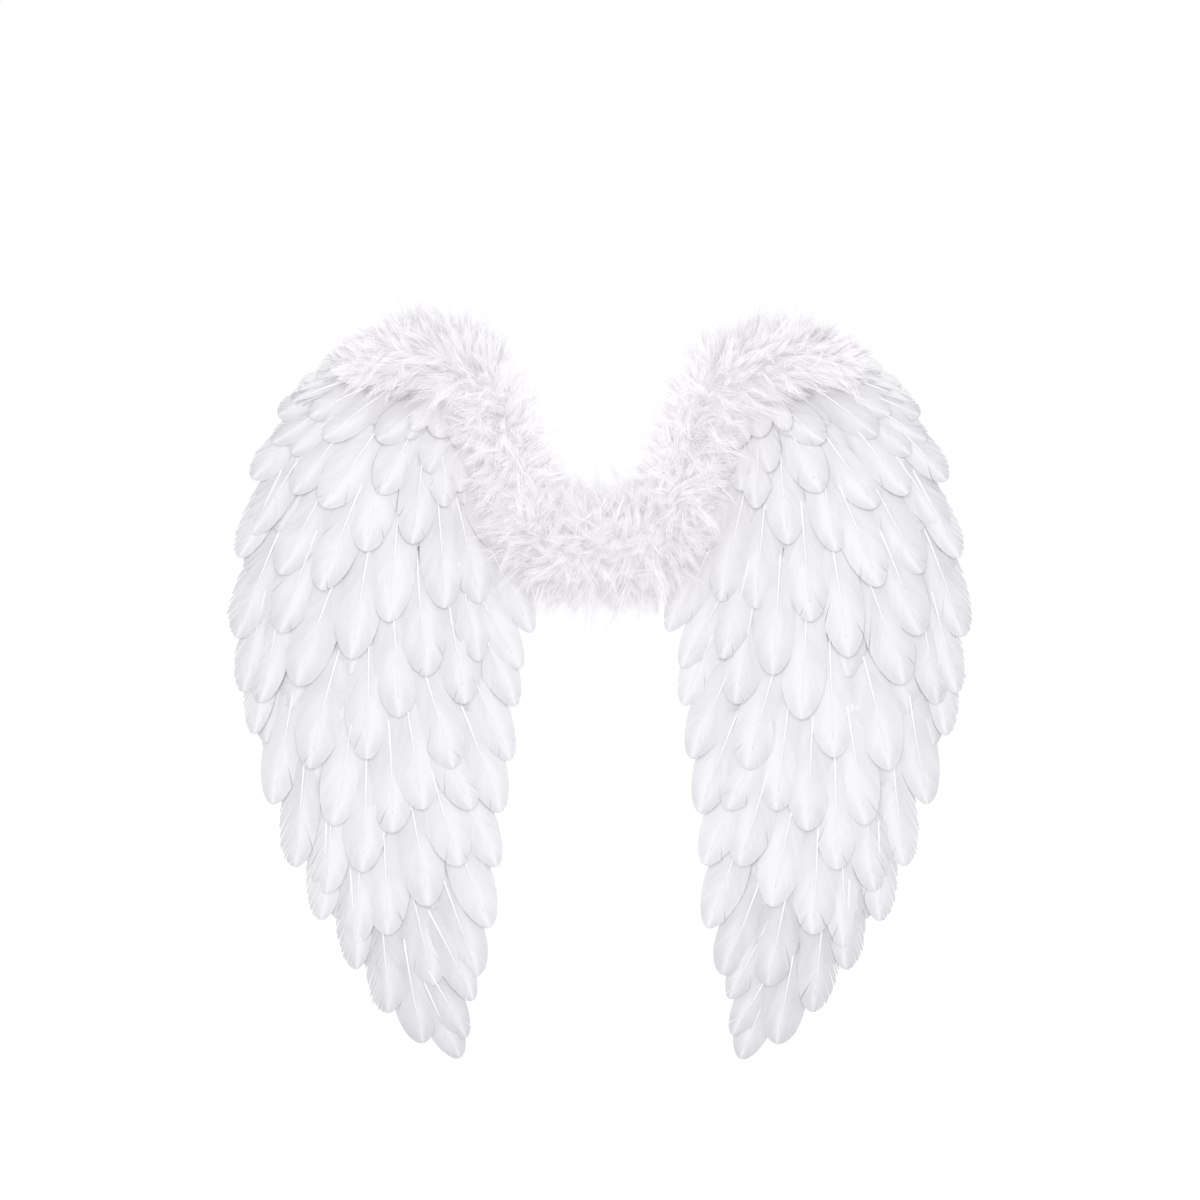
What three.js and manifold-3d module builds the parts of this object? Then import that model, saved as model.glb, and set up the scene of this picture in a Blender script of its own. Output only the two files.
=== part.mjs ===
// Costume angel wings, worn on the back: two domed boards covered with rows of white feathers,
// held together by a U-shaped yoke panel and framed by down fluff at the neck, the shoulders
// and the crests. Two elastic loops on the back go round the shoulders.
// Millimetres, +Z up. The feathered face looks towards -Y and the wearer stands on +Y.
// The origin is the middle of the yoke panel's rear face.
import * as THREE from "three";
import { mergeVertices } from "three/addons/utils/BufferGeometryUtils.js";
import Module from "manifold-3d";

const wasm = await Module();
wasm.setup();

// Driving dimensions of the wings: reach is from the middle to a wing's outer edge.
const WING_REACH = 300;
const WING_RISE = 600;
const DOME_DEPTH = 38;
const PANEL_WALL = 2.4;
const YOKE_WALL = 3;
const SEAT_GAP = 0.3;

// Feathers, and the tape that each row is sewn to.
const FEATHER_LENGTH = 121;
const FEATHER_HALF_WIDTH = 18;
const FEATHER_RIDGE = 0.8;
const TIP_LIFT = 9.5; // how far a feather's tip stands off the board, above its quill
const QUILL_SINK = 0.15; // the quill's underside lies this far inside its tape
const TAPE_WIDTH = 7;
const TAPE_WALL = 1.1;

// Down fluff: the depth of the padded roll and the size of the locks that stand on it.
const FLUFF_DEPTH = 30;
const LOCK_LENGTH = 26;
const LOCK_WIDTH = 13;

// Elastic shoulder loops.
const STRAP_WIDTH = 20;
const STRAP_WALL = 1.5;
const LOOP_DEPTH = 124;

// Curved pieces bow between their corners, so a seat keeps this much more.
const BOW_ROOM = 0.5;
const FEATHER_SEAT = PANEL_WALL + SEAT_GAP + BOW_ROOM;
const COLLAR_SEAT = SEAT_GAP + BOW_ROOM;
const CREST_SEAT = FEATHER_SEAT + TAPE_WALL + FEATHER_RIDGE + SEAT_GAP + 2 * BOW_ROOM;

// The dome of a wing from the crest to the tip. level is a share of WING_RISE, ridge, inner and
// outer are shares of WING_REACH, and depth is a share of DOME_DEPTH.
const DOME_SECTIONS = [
  { level: 0.3, ridge: 0.65, inner: 0.43, outer: 0.37, depth: 0.55 },
  { level: 0.2, ridge: 0.65, inner: 0.43, outer: 0.37, depth: 0.78 },
  { level: 0.08, ridge: 0.64, inner: 0.43, outer: 0.37, depth: 0.95 },
  { level: -0.05, ridge: 0.62, inner: 0.43, outer: 0.38, depth: 1.0 },
  { level: -0.2, ridge: 0.59, inner: 0.42, outer: 0.38, depth: 0.98 },
  { level: -0.35, ridge: 0.55, inner: 0.4, outer: 0.36, depth: 0.9 },
  { level: -0.5, ridge: 0.5, inner: 0.36, outer: 0.31, depth: 0.76 },
  { level: -0.72, ridge: 0.4, inner: 0.28, outer: 0.2, depth: 0.45 },
];

// Each row of feathers from the outer edge (edge) to the inner one (inner): places of the tips as
// shares of WING_REACH and WING_RISE, and how far a feather leans outwards, in degrees, at the
// edge, a quarter of the way in and at the inner end. length and width are shares of
// FEATHER_LENGTH and FEATHER_HALF_WIDTH.
const FEATHER_ROWS = [
  { out: 0.861, level: 0.165, inOut: 0.381, inLevel: 0.066, lean: 66, quarter: 58, inLean: 0,
    count: 5, length: 0.64, width: 0.92 },
  { out: 0.937, level: 0.078, inOut: 0.316, inLevel: 0.0135, lean: 46, quarter: 42, inLean: -14,
    count: 6, length: 0.74, width: 0.94 },
  { out: 0.972, level: 0.008, inOut: 0.278, inLevel: -0.027, lean: 34, quarter: 32, inLean: -18,
    count: 6, length: 0.8, width: 1 },
  { out: 0.98, level: -0.061, inOut: 0.23, inLevel: -0.081, lean: 22, quarter: 25, inLean: -23,
    count: 7, length: 0.9, width: 1 },
  { out: 0.987, level: -0.131, inOut: 0.186, inLevel: -0.126, lean: 15, quarter: 22, inLean: -27,
    count: 7, length: 1, width: 1 },
  { out: 0.972, level: -0.2025, inOut: 0.219, inLevel: -0.1755, lean: 12, quarter: 17, inLean: -28,
    count: 7, length: 1, width: 1 },
  { out: 0.94, level: -0.27, inOut: 0.224, inLevel: -0.227, lean: 11, quarter: 13, inLean: -26,
    count: 6, length: 0.98, width: 1 },
  { out: 0.888, level: -0.359, inOut: 0.246, inLevel: -0.298, lean: 10, quarter: 11, inLean: -22.6,
    count: 6, length: 0.96, width: 1 },
  { out: 0.815, level: -0.439, inOut: 0.27, inLevel: -0.37, lean: 3, quarter: 6, inLean: -21,
    count: 5, length: 0.94, width: 1 },
  { out: 0.751, level: -0.51, inOut: 0.281, inLevel: -0.443, lean: 3, quarter: 1, inLean: -18,
    count: 5, length: 0.92, width: 0.93 },
  { out: 0.664, level: -0.5805, inOut: 0.292, inLevel: -0.524, lean: -1, quarter: -6, inLean: -21,
    count: 4, length: 0.9, width: 0.93 },
  { out: 0.567, level: -0.6386, inOut: 0.327, inLevel: -0.589, lean: -5, quarter: -10, inLean: -21,
    count: 3, length: 0.87, width: 0.93 },
  { out: 0.475, level: -0.679, inOut: 0.351, inLevel: -0.648, lean: -12, quarter: -18, inLean: -27,
    count: 2, length: 0.84, width: 0.86 },
  { out: 0.378, level: -0.6993, inOut: 0.378, inLevel: -0.6993, lean: -25, quarter: -25,
    inLean: -25, count: 1, length: 0.82, width: 0.86 },
];
const ROW_SAG = 0.02; // the middle of a long row hangs below its ends by this share of WING_RISE
const FREE_VANE = 0.6; // the free vane at either end of a row, as a share of a full one

// One feather from the quill to the tip: shares of its length and of its half width.
const FEATHER_STATIONS = [
  { along: 0, width: 0.12 },
  { along: 0.22, width: 0.68 },
  { along: 0.58, width: 1 },
  { along: 0.87, width: 0.8 },
  { along: 1, width: 0.16 },
];

// The board under the feathers, from the crest to the tip, in shares of WING_RISE and WING_REACH.
const PANEL_SECTIONS = [
  { level: 0.255, inner: 0.4, outer: 0.61 },
  { level: 0.235, inner: 0.362, outer: 0.7 },
  { level: 0.19, inner: 0.357, outer: 0.79 },
  { level: 0.12, inner: 0.357, outer: 0.88 },
  { level: 0.03, inner: 0.357, outer: 0.92 },
  { level: -0.08, inner: 0.35, outer: 0.91 },
  { level: -0.2, inner: 0.34, outer: 0.87 },
  { level: -0.32, inner: 0.34, outer: 0.8 },
  { level: -0.44, inner: 0.355, outer: 0.7 },
  { level: -0.55, inner: 0.38, outer: 0.58 },
  { level: -0.63, inner: 0.42, outer: 0.47 },
];
const PANEL_STATIONS = 7;

// The yoke panel from its middle to the top of an arm: its outer and its neck edge, in shares of
// WING_REACH and WING_RISE.
const YOKE_SECTIONS = [
  { out: 0, level: -0.063, neckOut: 0, neckLevel: 0.04 },
  { out: 0.13, level: -0.063, neckOut: 0.06, neckLevel: 0.045 },
  { out: 0.24, level: -0.035, neckOut: 0.13, neckLevel: 0.065 },
  { out: 0.33, level: 0.04, neckOut: 0.18, neckLevel: 0.1 },
  { out: 0.38, level: 0.12, neckOut: 0.225, neckLevel: 0.15 },
  { out: 0.4, level: 0.18, neckOut: 0.285, neckLevel: 0.2 },
  { out: 0.4, level: 0.235, neckOut: 0.35, neckLevel: 0.24 },
];
const YOKE_STATIONS = 5;

// The roll of fluff from the middle of the yoke, up the neck opening and out along the crest: its
// free side (neck) and its feather side (wing), in shares of WING_REACH and WING_RISE, and how
// deep it stands, as a share of FLUFF_DEPTH.
const FLUFF_SECTIONS = [
  { neckOut: 0, neckLevel: 0.055, wingOut: 0, wingLevel: -0.075, depth: 1 },
  { neckOut: 0.06, neckLevel: 0.057, wingOut: 0.07, wingLevel: -0.075, depth: 1 },
  { neckOut: 0.115, neckLevel: 0.064, wingOut: 0.15, wingLevel: -0.072, depth: 0.97 },
  { neckOut: 0.137, neckLevel: 0.074, wingOut: 0.207, wingLevel: -0.04, depth: 0.93 },
  { neckOut: 0.148, neckLevel: 0.086, wingOut: 0.247, wingLevel: 0.005, depth: 0.93 },
  { neckOut: 0.16, neckLevel: 0.112, wingOut: 0.27, wingLevel: 0.058, depth: 0.93 },
  { neckOut: 0.178, neckLevel: 0.148, wingOut: 0.29, wingLevel: 0.103, depth: 0.93 },
  { neckOut: 0.206, neckLevel: 0.187, wingOut: 0.315, wingLevel: 0.145, depth: 0.9 },
  { neckOut: 0.25, neckLevel: 0.222, wingOut: 0.335, wingLevel: 0.18, depth: 0.85 },
  { neckOut: 0.31, neckLevel: 0.25, wingOut: 0.375, wingLevel: 0.202, depth: 0.76 },
  { neckOut: 0.385, neckLevel: 0.268, wingOut: 0.43, wingLevel: 0.21, depth: 0.66 },
  { neckOut: 0.465, neckLevel: 0.275, wingOut: 0.49, wingLevel: 0.214, depth: 0.56 },
  { neckOut: 0.545, neckLevel: 0.27, wingOut: 0.55, wingLevel: 0.217, depth: 0.46 },
  { neckOut: 0.62, neckLevel: 0.257, wingOut: 0.61, wingLevel: 0.218, depth: 0.36 },
  { neckOut: 0.69, neckLevel: 0.245, wingOut: 0.67, wingLevel: 0.22, depth: 0.28 },
  { neckOut: 0.745, neckLevel: 0.232, wingOut: 0.72, wingLevel: 0.218, depth: 0.2 },
];
const YOKE_END = 3.4; // where the yoke's roll meets the collar's, counted in FLUFF_SECTIONS
const COLLAR_END = 8.5;
const CREST_END = 15;
const JOINT_ROOM = 0.03; // half the gap between two rolls, counted in sections

// A shoulder loop from its upper seam to its lower one: out and level in shares of WING_REACH and
// WING_RISE, and how far it stands behind the yoke panel, as a share of LOOP_DEPTH.
const LOOP_POINTS = [
  { out: 0.295, level: 0.115, back: 0 },
  { out: 0.3, level: 0.16, back: 0 },
  { out: 0.318, level: 0.205, back: 0.1 },
  { out: 0.352, level: 0.234, back: 0.36 },
  { out: 0.38, level: 0.214, back: 0.68 },
  { out: 0.405, level: 0.147, back: 0.91 },
  { out: 0.424, level: 0.058, back: 1 },
  { out: 0.436, level: -0.033, back: 0.93 },
  { out: 0.432, level: -0.103, back: 0.74 },
  { out: 0.402, level: -0.13, back: 0.46 },
  { out: 0.352, level: -0.112, back: 0.2 },
  { out: 0.305, level: -0.068, back: 0.05 },
  { out: 0.27, level: -0.036, back: 0 },
  { out: 0.255, level: 0.008, back: 0 },
];

const FELT = new THREE.MeshStandardMaterial({ color: 0xf2f1f3, roughness: 0.95 });
const FEATHER = new THREE.MeshStandardMaterial({ color: 0xf5f4f9, roughness: 0.6 });
const DOWN = new THREE.MeshStandardMaterial({ color: 0xfaf9fc, roughness: 0.9 });
const ELASTIC = new THREE.MeshStandardMaterial({ color: 0xeeedee, roughness: 0.8 });

const radians = THREE.MathUtils.degToRad;
const mix = THREE.MathUtils.lerp;

// One column of a table between its rows, on a curve without kinks. spot gives a row's place.
function smooth(rows, spot, column, at) {
  const places = rows.map(spot);
  const values = rows.map((row) => row[column]);
  const last = rows.length - 1;
  const sign = Math.sign(places[last] - places[0]);
  const held = THREE.MathUtils.clamp(at * sign, places[0] * sign, places[last] * sign) * sign;
  const found = places.findIndex((place) => place * sign >= held * sign);
  const i = Math.max(found - 1, 0);
  const steep = (k) => {
    const a = Math.max(k - 1, 0);
    const b = Math.min(k + 1, last);
    return (values[b] - values[a]) / (places[b] - places[a]);
  };
  const span = places[i + 1] - places[i];
  const t = (held - places[i]) / span;
  const rise = values[i + 1] - values[i];
  const bend = steep(i) * span * (1 - t) * (1 - t) * t - steep(i + 1) * span * (1 - t) * t * t;
  return values[i] + rise * t * t * (3 - 2 * t) + bend;
}

const byLevel = (row) => row.level;
const byIndex = (row) => FLUFF_SECTIONS.indexOf(row);

// How far the dome stands out from the yoke's plane at a place on the front view.
function domeDepth(out, level) {
  const at = level / WING_RISE;
  const ridge = smooth(DOME_SECTIONS, byLevel, "ridge", at);
  const inner = smooth(DOME_SECTIONS, byLevel, "inner", at);
  const outer = smooth(DOME_SECTIONS, byLevel, "outer", at);
  const depth = DOME_DEPTH * smooth(DOME_SECTIONS, byLevel, "depth", at);
  const off = out / WING_REACH - ridge;
  const inwards = Math.min(-off / inner, 1);
  const bump = off < 0 ? Math.cos((inwards * Math.PI) / 2) ** 2 : 1 - 0.92 * (off / outer) ** 2.3;
  return depth * bump;
}

// A point that stands lift in front of the dome's rear face, seen at out and level from the front.
function wingPoint(out, level, lift) {
  const step = 0.5;
  const across = domeDepth(out + step, level) - domeDepth(out - step, level);
  const along = domeDepth(out, level + step) - domeDepth(out, level - step);
  const steepness = Math.hypot(1, across / (2 * step), along / (2 * step));
  const depth = YOKE_WALL + SEAT_GAP + domeDepth(out, level) + lift * steepness;
  return new THREE.Vector3(out, -depth, level);
}

// A closed solid through rings of as many points each, with ladder-like ends.
function loft(rings) {
  const n = rings[0].length;
  const points = rings.flat();
  const faces = [];
  for (let r = 0; r + 1 < rings.length; r += 1) {
    for (let i = 0; i < n; i += 1) {
      const a = r * n + i;
      const b = r * n + ((i + 1) % n);
      faces.push(a, b, b + n, a, b + n, a + n);
    }
  }
  const end = (rings.length - 1) * n;
  for (let i = 0; i + 1 < n / 2; i += 1) {
    const [a, b, c, d] = [i, i + 1, n - 2 - i, n - 1 - i];
    faces.push(a, d, c, end + a, end + c, end + d);
    if (b < c) faces.push(a, c, b, end + a, end + b, end + c);
  }
  const geometry = new THREE.BufferGeometry().setFromPoints(points);
  geometry.setIndex(signedVolume(points, faces) < 0 ? faces.reverse() : faces);
  return geometry;
}

function signedVolume(points, faces) {
  let six = 0;
  for (let i = 0; i < faces.length; i += 3) {
    const [a, b, c] = faces.slice(i, i + 3).map((k) => points[k]);
    six += a.dot(b.clone().cross(c));
  }
  return six / 6;
}

function solidOf(geometry) {
  const bare = new THREE.BufferGeometry();
  bare.setAttribute("position", geometry.getAttribute("position"));
  bare.setIndex(geometry.getIndex());
  const merged = mergeVertices(bare, 1e-3);
  const vertProperties = new Float32Array(merged.getAttribute("position").array);
  const triVerts = new Uint32Array(merged.getIndex().array);
  return new wasm.Manifold(new wasm.Mesh({ numProp: 3, vertProperties, triVerts }));
}

function fuse(geometries) {
  const whole = geometries.map(solidOf).reduce((joined, solid) => joined.add(solid));
  const mesh = whole.getMesh();
  const geometry = new THREE.BufferGeometry();
  geometry.setAttribute("position", new THREE.BufferAttribute(mesh.vertProperties, 3));
  geometry.setIndex(new THREE.BufferAttribute(mesh.triVerts, 1));
  return geometry;
}

function piece(name, geometry, material) {
  const mesh = new THREE.Mesh(geometry, material);
  mesh.name = name;
  geometry.computeVertexNormals();
  return mesh;
}

// Where the tips of a row's feathers lie, from the outer edge (share 0) to the inner end (1).
function featherPlaces(row) {
  return Array.from({ length: row.count }, (_, k) => {
    const share = row.count > 1 ? k / (row.count - 1) : 0;
    const sag = ROW_SAG * WING_RISE * Math.sin(Math.PI * share) * (row.count > 4 ? 1 : 0);
    const inwards = (share - 0.25) / 0.75;
    const lean = share < 0.25
      ? mix(row.lean, row.quarter, share / 0.25)
      : mix(row.quarter, row.inLean, inwards);
    return {
      share,
      out: WING_REACH * mix(row.out, row.inOut, share),
      level: WING_RISE * mix(row.level, row.inLevel, share) - sag,
      lean: radians(lean),
      length: FEATHER_LENGTH * row.length,
      half: FEATHER_HALF_WIDTH * row.width,
    };
  });
}

// A thin closed feather, roof-shaped across: two vane edges and a raised shaft at each station.
function feather(place) {
  const along = { out: Math.sin(place.lean), level: -Math.cos(place.lean) };
  const outer = place.half * mix(FREE_VANE, 1, Math.min(place.share * 4, 1));
  const inner = place.half * mix(1, FREE_VANE, place.share ** 3);
  const rings = FEATHER_STATIONS.map((station) => {
    const back = (1 - station.along) * place.length;
    const out = place.out - back * along.out;
    const level = place.level - back * along.level;
    const lift = FEATHER_SEAT + QUILL_SINK + TIP_LIFT * station.along;
    const at = (side, rise) =>
      wingPoint(out - side * along.level, level + side * along.out, lift + rise);
    return [
      at(outer * station.width, 0),
      at(0, FEATHER_RIDGE * mix(0.4, 1, station.width)),
      at(-inner * station.width, 0),
    ];
  });
  return loft(rings);
}

// The place halfway between two, and how far the dome stands proud of a straight line there.
function halfway(a, b) {
  const place = { out: 0, level: 0, lean: 0 };
  Object.keys(place).forEach((key) => {
    place[key] = (a[key] + b[key]) / 2;
  });
  const ends = domeDepth(a.out, a.level) + domeDepth(b.out, b.level);
  return { ...place, bow: domeDepth(place.out, place.level) - ends / 2 };
}

// The tape that a row's quills are sewn to, with one more section where the dome bows.
function rowTape(places) {
  const roots = places.map((place) => ({
    out: place.out - place.length * Math.sin(place.lean),
    level: place.level + place.length * Math.cos(place.lean),
    lean: place.lean,
  }));
  const half = TAPE_WIDTH / 2;
  const shifted = (spot, by) => ({
    out: spot.out + by * Math.cos(spot.lean),
    level: spot.level + by * Math.sin(spot.lean),
    lean: spot.lean,
  });
  const line = [shifted(roots[0], half), ...roots.slice(1, -1), shifted(roots.at(-1), -half)];
  for (let k = line.length - 1; k > 0; k -= 1) {
    const between = halfway(line[k - 1], line[k]);
    if (between.bow > BOW_ROOM / 2) line.splice(k, 0, between);
  }
  const rings = line.map((spot) => {
    const away = { out: Math.sin(spot.lean), level: -Math.cos(spot.lean) };
    const at = (side, lift) =>
      wingPoint(spot.out + side * away.out, spot.level + side * away.level, lift);
    const top = FEATHER_SEAT + TAPE_WALL;
    return [at(-half, FEATHER_SEAT), at(half, FEATHER_SEAT), at(half, top), at(-half, top)];
  });
  return loft(rings);
}

function featherRow(row) {
  const places = featherPlaces(row);
  return fuse([rowTape(places), ...places.map(feather)]);
}

// A thin shell between two edges of the front view, with as many points across as stations.
function shell(sections, stations, lowLift, highLift) {
  const across = Array.from({ length: stations }, (_, k) => k / (stations - 1));
  const rings = sections.map(({ from, to }) => {
    const row = (lift) => across.map((share) => {
      const out = mix(from.out, to.out, share);
      const point = wingPoint(Math.abs(out), mix(from.level, to.level, share), lift);
      return point.setX(out);
    });
    return [...row(highLift), ...row(lowLift).reverse()];
  });
  return loft(rings);
}

function wingPanel() {
  const sections = PANEL_SECTIONS.map((row) => ({
    from: { out: row.inner * WING_REACH, level: row.level * WING_RISE },
    to: { out: row.outer * WING_REACH, level: row.level * WING_RISE },
  }));
  return shell(sections, PANEL_STATIONS, 0, PANEL_WALL);
}

function yokePanel() {
  const section = (row, side) => ({
    from: { out: side * row.neckOut * WING_REACH, level: row.neckLevel * WING_RISE },
    to: { out: side * row.out * WING_REACH, level: row.level * WING_RISE },
  });
  const right = YOKE_SECTIONS.slice(1).map((row) => section(row, 1));
  const left = YOKE_SECTIONS.slice(1).map((row) => section(row, -1)).reverse();
  const sections = [...left, section(YOKE_SECTIONS[0], 1), ...right];
  return shell(sections, YOKE_STATIONS, -SEAT_GAP - YOKE_WALL, -SEAT_GAP);
}

// A point on the roll of fluff: turn 0 is its free side, half a turn its feather side.
function fluffPoint(at, turn, seat) {
  const where = Math.abs(at);
  const pick = (column) => smooth(FLUFF_SECTIONS, byIndex, column, where);
  const share = (1 - Math.cos(turn * Math.PI * 2)) / 2;
  const out = WING_REACH * mix(pick("neckOut"), pick("wingOut"), share);
  const level = WING_RISE * mix(pick("neckLevel"), pick("wingLevel"), share);
  const depth = FLUFF_DEPTH * pick("depth") * Math.sin(turn * Math.PI * 2) ** 0.8;
  const point = wingPoint(out, level, seat);
  return point.setY(point.y - depth).setX(Math.sign(at || 1) * out);
}

const FLUFF_TURNS = [0, 0.045, 0.11, 0.19, 0.27, 0.35, 0.425, 0.5];
const MOST_SECTION = 1.0; // no two sections of a roll lie further apart than this

function fluffRoll(from, to, seat) {
  const steps = Math.ceil((to - from) / MOST_SECTION);
  const rings = Array.from({ length: steps + 1 }, (_, k) =>
    FLUFF_TURNS.map((turn) => fluffPoint(mix(from, to, k / steps), turn, seat)));
  return loft(rings);
}

// A curved pointed lock of down that stands on the roll and leans along it by flow.
function lock(at, turn, seat, flow, size) {
  const foot = fluffPoint(at, turn, seat);
  const middle = fluffPoint(at, 0.5, seat).add(fluffPoint(at, 0, seat)).multiplyScalar(0.5);
  const away = foot.clone().sub(middle).normalize();
  const ahead = fluffPoint(at + 0.2, turn, seat).sub(fluffPoint(at - 0.2, turn, seat)).normalize();
  const side = Math.sign(at || 1);
  const stand = away.clone().addScaledVector(ahead, flow * side * 0.5).normalize();
  const length = LOCK_LENGTH * size;
  const cone = new THREE.ConeGeometry((LOCK_WIDTH * size) / 2, length, 3, 2);
  cone.translate(0, length * 0.3, 0);
  cone.applyQuaternion(
    new THREE.Quaternion().setFromUnitVectors(new THREE.Vector3(0, 1, 0), stand));
  const spots = cone.getAttribute("position");
  const spot = new THREE.Vector3();
  for (let i = 0; i < spots.count; i += 1) {
    spot.fromBufferAttribute(spots, i);
    const height = Math.max(spot.dot(stand), 0);
    const bend = (flow * side * height * height * 0.5) / length;
    spot.addScaledVector(ahead, bend).add(foot);
    spots.setXYZ(i, spot.x, spot.y, spot.z);
  }
  return cone;
}

// Fluff with its locks: rows gives each line of locks, its turn round the roll, how many stand
// along it between two places, their lean along the roll and their size.
function fluff(from, to, seat, rows) {
  const locks = rows.flatMap((row) =>
    Array.from({ length: row.count }, (_, k) => {
      const at = mix(row.from, row.to, (k + 0.5) / row.count);
      const size = row.size * (k % 2 ? 0.86 : 1.05);
      return lock(at, row.turn, seat, row.flow, size);
    }));
  return fuse([fluffRoll(from, to, seat), ...locks]);
}

const YOKE_LOCKS = [
  { turn: 0.03, from: -2.9, to: 2.9, count: 8, flow: 0.1, size: 0.8 },
  { turn: 0.18, from: -3, to: 3, count: 7, flow: 0.3, size: 0.85 },
  { turn: 0.34, from: -2.4, to: 2.4, count: 6, flow: 0.3, size: 0.9 },
  { turn: 0.47, from: -1.9, to: 1.9, count: 8, flow: 0.1, size: 0.85 },
];
const COLLAR_LOCKS = [
  { turn: 0.03, from: 3.8, to: 8, count: 7, flow: 0.5, size: 0.8 },
  { turn: 0.14, from: 3.8, to: 8, count: 5, flow: 0.6, size: 0.85 },
  { turn: 0.27, from: 3.8, to: 8, count: 4, flow: 0.5, size: 0.85 },
];
const CREST_LOCKS = [
  { turn: 0.04, from: 9, to: 14.6, count: 9, flow: 1, size: 0.9 },
  { turn: 0.2, from: 9, to: 14, count: 7, flow: 1.1, size: 0.75 },
];

function yokeFluff() {
  return fluff(-YOKE_END + JOINT_ROOM, YOKE_END - JOINT_ROOM, BOW_ROOM, YOKE_LOCKS);
}

function collarFluff() {
  return fluff(YOKE_END + JOINT_ROOM, COLLAR_END - JOINT_ROOM, COLLAR_SEAT, COLLAR_LOCKS);
}

function crestFluff() {
  return fluff(COLLAR_END + JOINT_ROOM, CREST_END, CREST_SEAT, CREST_LOCKS);
}

// A flat elastic band along the loop's points, its width in line with the yoke panel's slope.
function shoulderStrap() {
  const tab = -SEAT_GAP - YOKE_WALL - SEAT_GAP - BOW_ROOM - STRAP_WALL / 2;
  const at = (row, aside) => {
    const point = wingPoint(row.out * WING_REACH + aside, row.level * WING_RISE, tab);
    return point.setY(point.y + row.back * LOOP_DEPTH);
  };
  const middles = LOOP_POINTS.map((row) => at(row, 0));
  const rings = middles.map((middle, k) => {
    const before = middles[Math.max(k - 1, 0)];
    const after = middles[Math.min(k + 1, middles.length - 1)];
    const ahead = after.clone().sub(before).normalize();
    const across = at(LOOP_POINTS[k], STRAP_WIDTH / 2).sub(at(LOOP_POINTS[k], -STRAP_WIDTH / 2));
    const wide = across.addScaledVector(ahead, -across.dot(ahead)).normalize();
    const thick = ahead.clone().cross(wide);
    const corner = (w, t) => middle.clone()
      .addScaledVector(wide, (w * STRAP_WIDTH) / 2)
      .addScaledVector(thick, (t * STRAP_WALL) / 2);
    return [corner(-1, -1), corner(1, -1), corner(1, 1), corner(-1, 1)];
  });
  return loft(rings);
}

// One wing with its share of fluff and its shoulder loop, on the +X side.
function wing(side) {
  const group = new THREE.Group();
  group.add(piece(side + "_wing_panel", wingPanel(), FELT));
  FEATHER_ROWS.forEach((row, k) => {
    const number = String(k + 1).padStart(2, "0");
    group.add(piece(side + "_feathers_" + number, featherRow(row), FEATHER));
  });
  group.add(piece(side + "_collar_fluff", collarFluff(), DOWN));
  group.add(piece(side + "_crest_fluff", crestFluff(), DOWN));
  group.add(piece(side + "_shoulder_strap", shoulderStrap(), ELASTIC));
  return group;
}

const wings = new THREE.Group();
wings.add(piece("yoke_panel", yokePanel(), FELT));
wings.add(piece("yoke_fluff", yokeFluff(), DOWN));
wings.add(wing("right"));
const left = wing("left");
left.scale.x = -1;
wings.add(left);

export default wings;
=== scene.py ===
"""White costume angel wings: two domed boards under rows of feathers, joined by a fluffy yoke.

Everything is in metres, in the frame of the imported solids: +Z up, the feathered face towards -Y,
the wearer on +Y and the right wing on +X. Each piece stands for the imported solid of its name,
apart from the small feathers under the crests, which have no solid of their own.
"""

import math

import bpy
import numpy as np
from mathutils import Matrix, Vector


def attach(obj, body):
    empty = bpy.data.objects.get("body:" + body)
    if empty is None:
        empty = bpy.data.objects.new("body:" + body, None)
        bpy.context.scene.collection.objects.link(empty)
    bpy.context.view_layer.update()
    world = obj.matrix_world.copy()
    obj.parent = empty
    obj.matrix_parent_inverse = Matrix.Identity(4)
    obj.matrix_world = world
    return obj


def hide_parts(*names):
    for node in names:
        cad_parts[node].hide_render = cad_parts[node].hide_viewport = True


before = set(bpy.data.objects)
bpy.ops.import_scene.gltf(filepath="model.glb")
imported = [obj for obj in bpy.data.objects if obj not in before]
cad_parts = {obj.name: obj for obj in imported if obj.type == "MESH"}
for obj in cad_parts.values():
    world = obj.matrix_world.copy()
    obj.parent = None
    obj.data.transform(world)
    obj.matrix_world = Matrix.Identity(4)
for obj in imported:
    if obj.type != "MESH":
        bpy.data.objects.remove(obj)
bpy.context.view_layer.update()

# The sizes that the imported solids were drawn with.
WING_REACH = 0.3
WING_RISE = 0.6
DOME_DEPTH = 0.038
PANEL_WALL = 0.0024
YOKE_WALL = 0.003
SEAT_GAP = 0.0003
BOW_ROOM = 0.0005
FEATHER_RIDGE = 0.0008
TAPE_WIDTH = 0.007
TAPE_WALL = 0.0011
FLUFF_DEPTH = 0.03
STRAP_WIDTH = 0.02
STRAP_WALL = 0.0015
LOOP_DEPTH = 0.124
FEATHER_SEAT = PANEL_WALL + SEAT_GAP + BOW_ROOM
COLLAR_SEAT = SEAT_GAP + BOW_ROOM
CREST_SEAT = FEATHER_SEAT + TAPE_WALL + FEATHER_RIDGE + SEAT_GAP + 2 * BOW_ROOM

# The dome of a wing: level is a share of WING_RISE, ridge, inner and outer are shares of
# WING_REACH, and depth is a share of DOME_DEPTH.
DOME_COLUMNS = ("level", "ridge", "inner", "outer", "depth")
DOME_SECTIONS = [
    (0.3, 0.65, 0.43, 0.37, 0.55),
    (0.2, 0.65, 0.43, 0.37, 0.78),
    (0.08, 0.64, 0.43, 0.37, 0.95),
    (-0.05, 0.62, 0.43, 0.38, 1.0),
    (-0.2, 0.59, 0.42, 0.38, 0.98),
    (-0.35, 0.55, 0.4, 0.36, 0.9),
    (-0.5, 0.5, 0.36, 0.31, 0.76),
    (-0.72, 0.4, 0.28, 0.2, 0.45),
]

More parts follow.
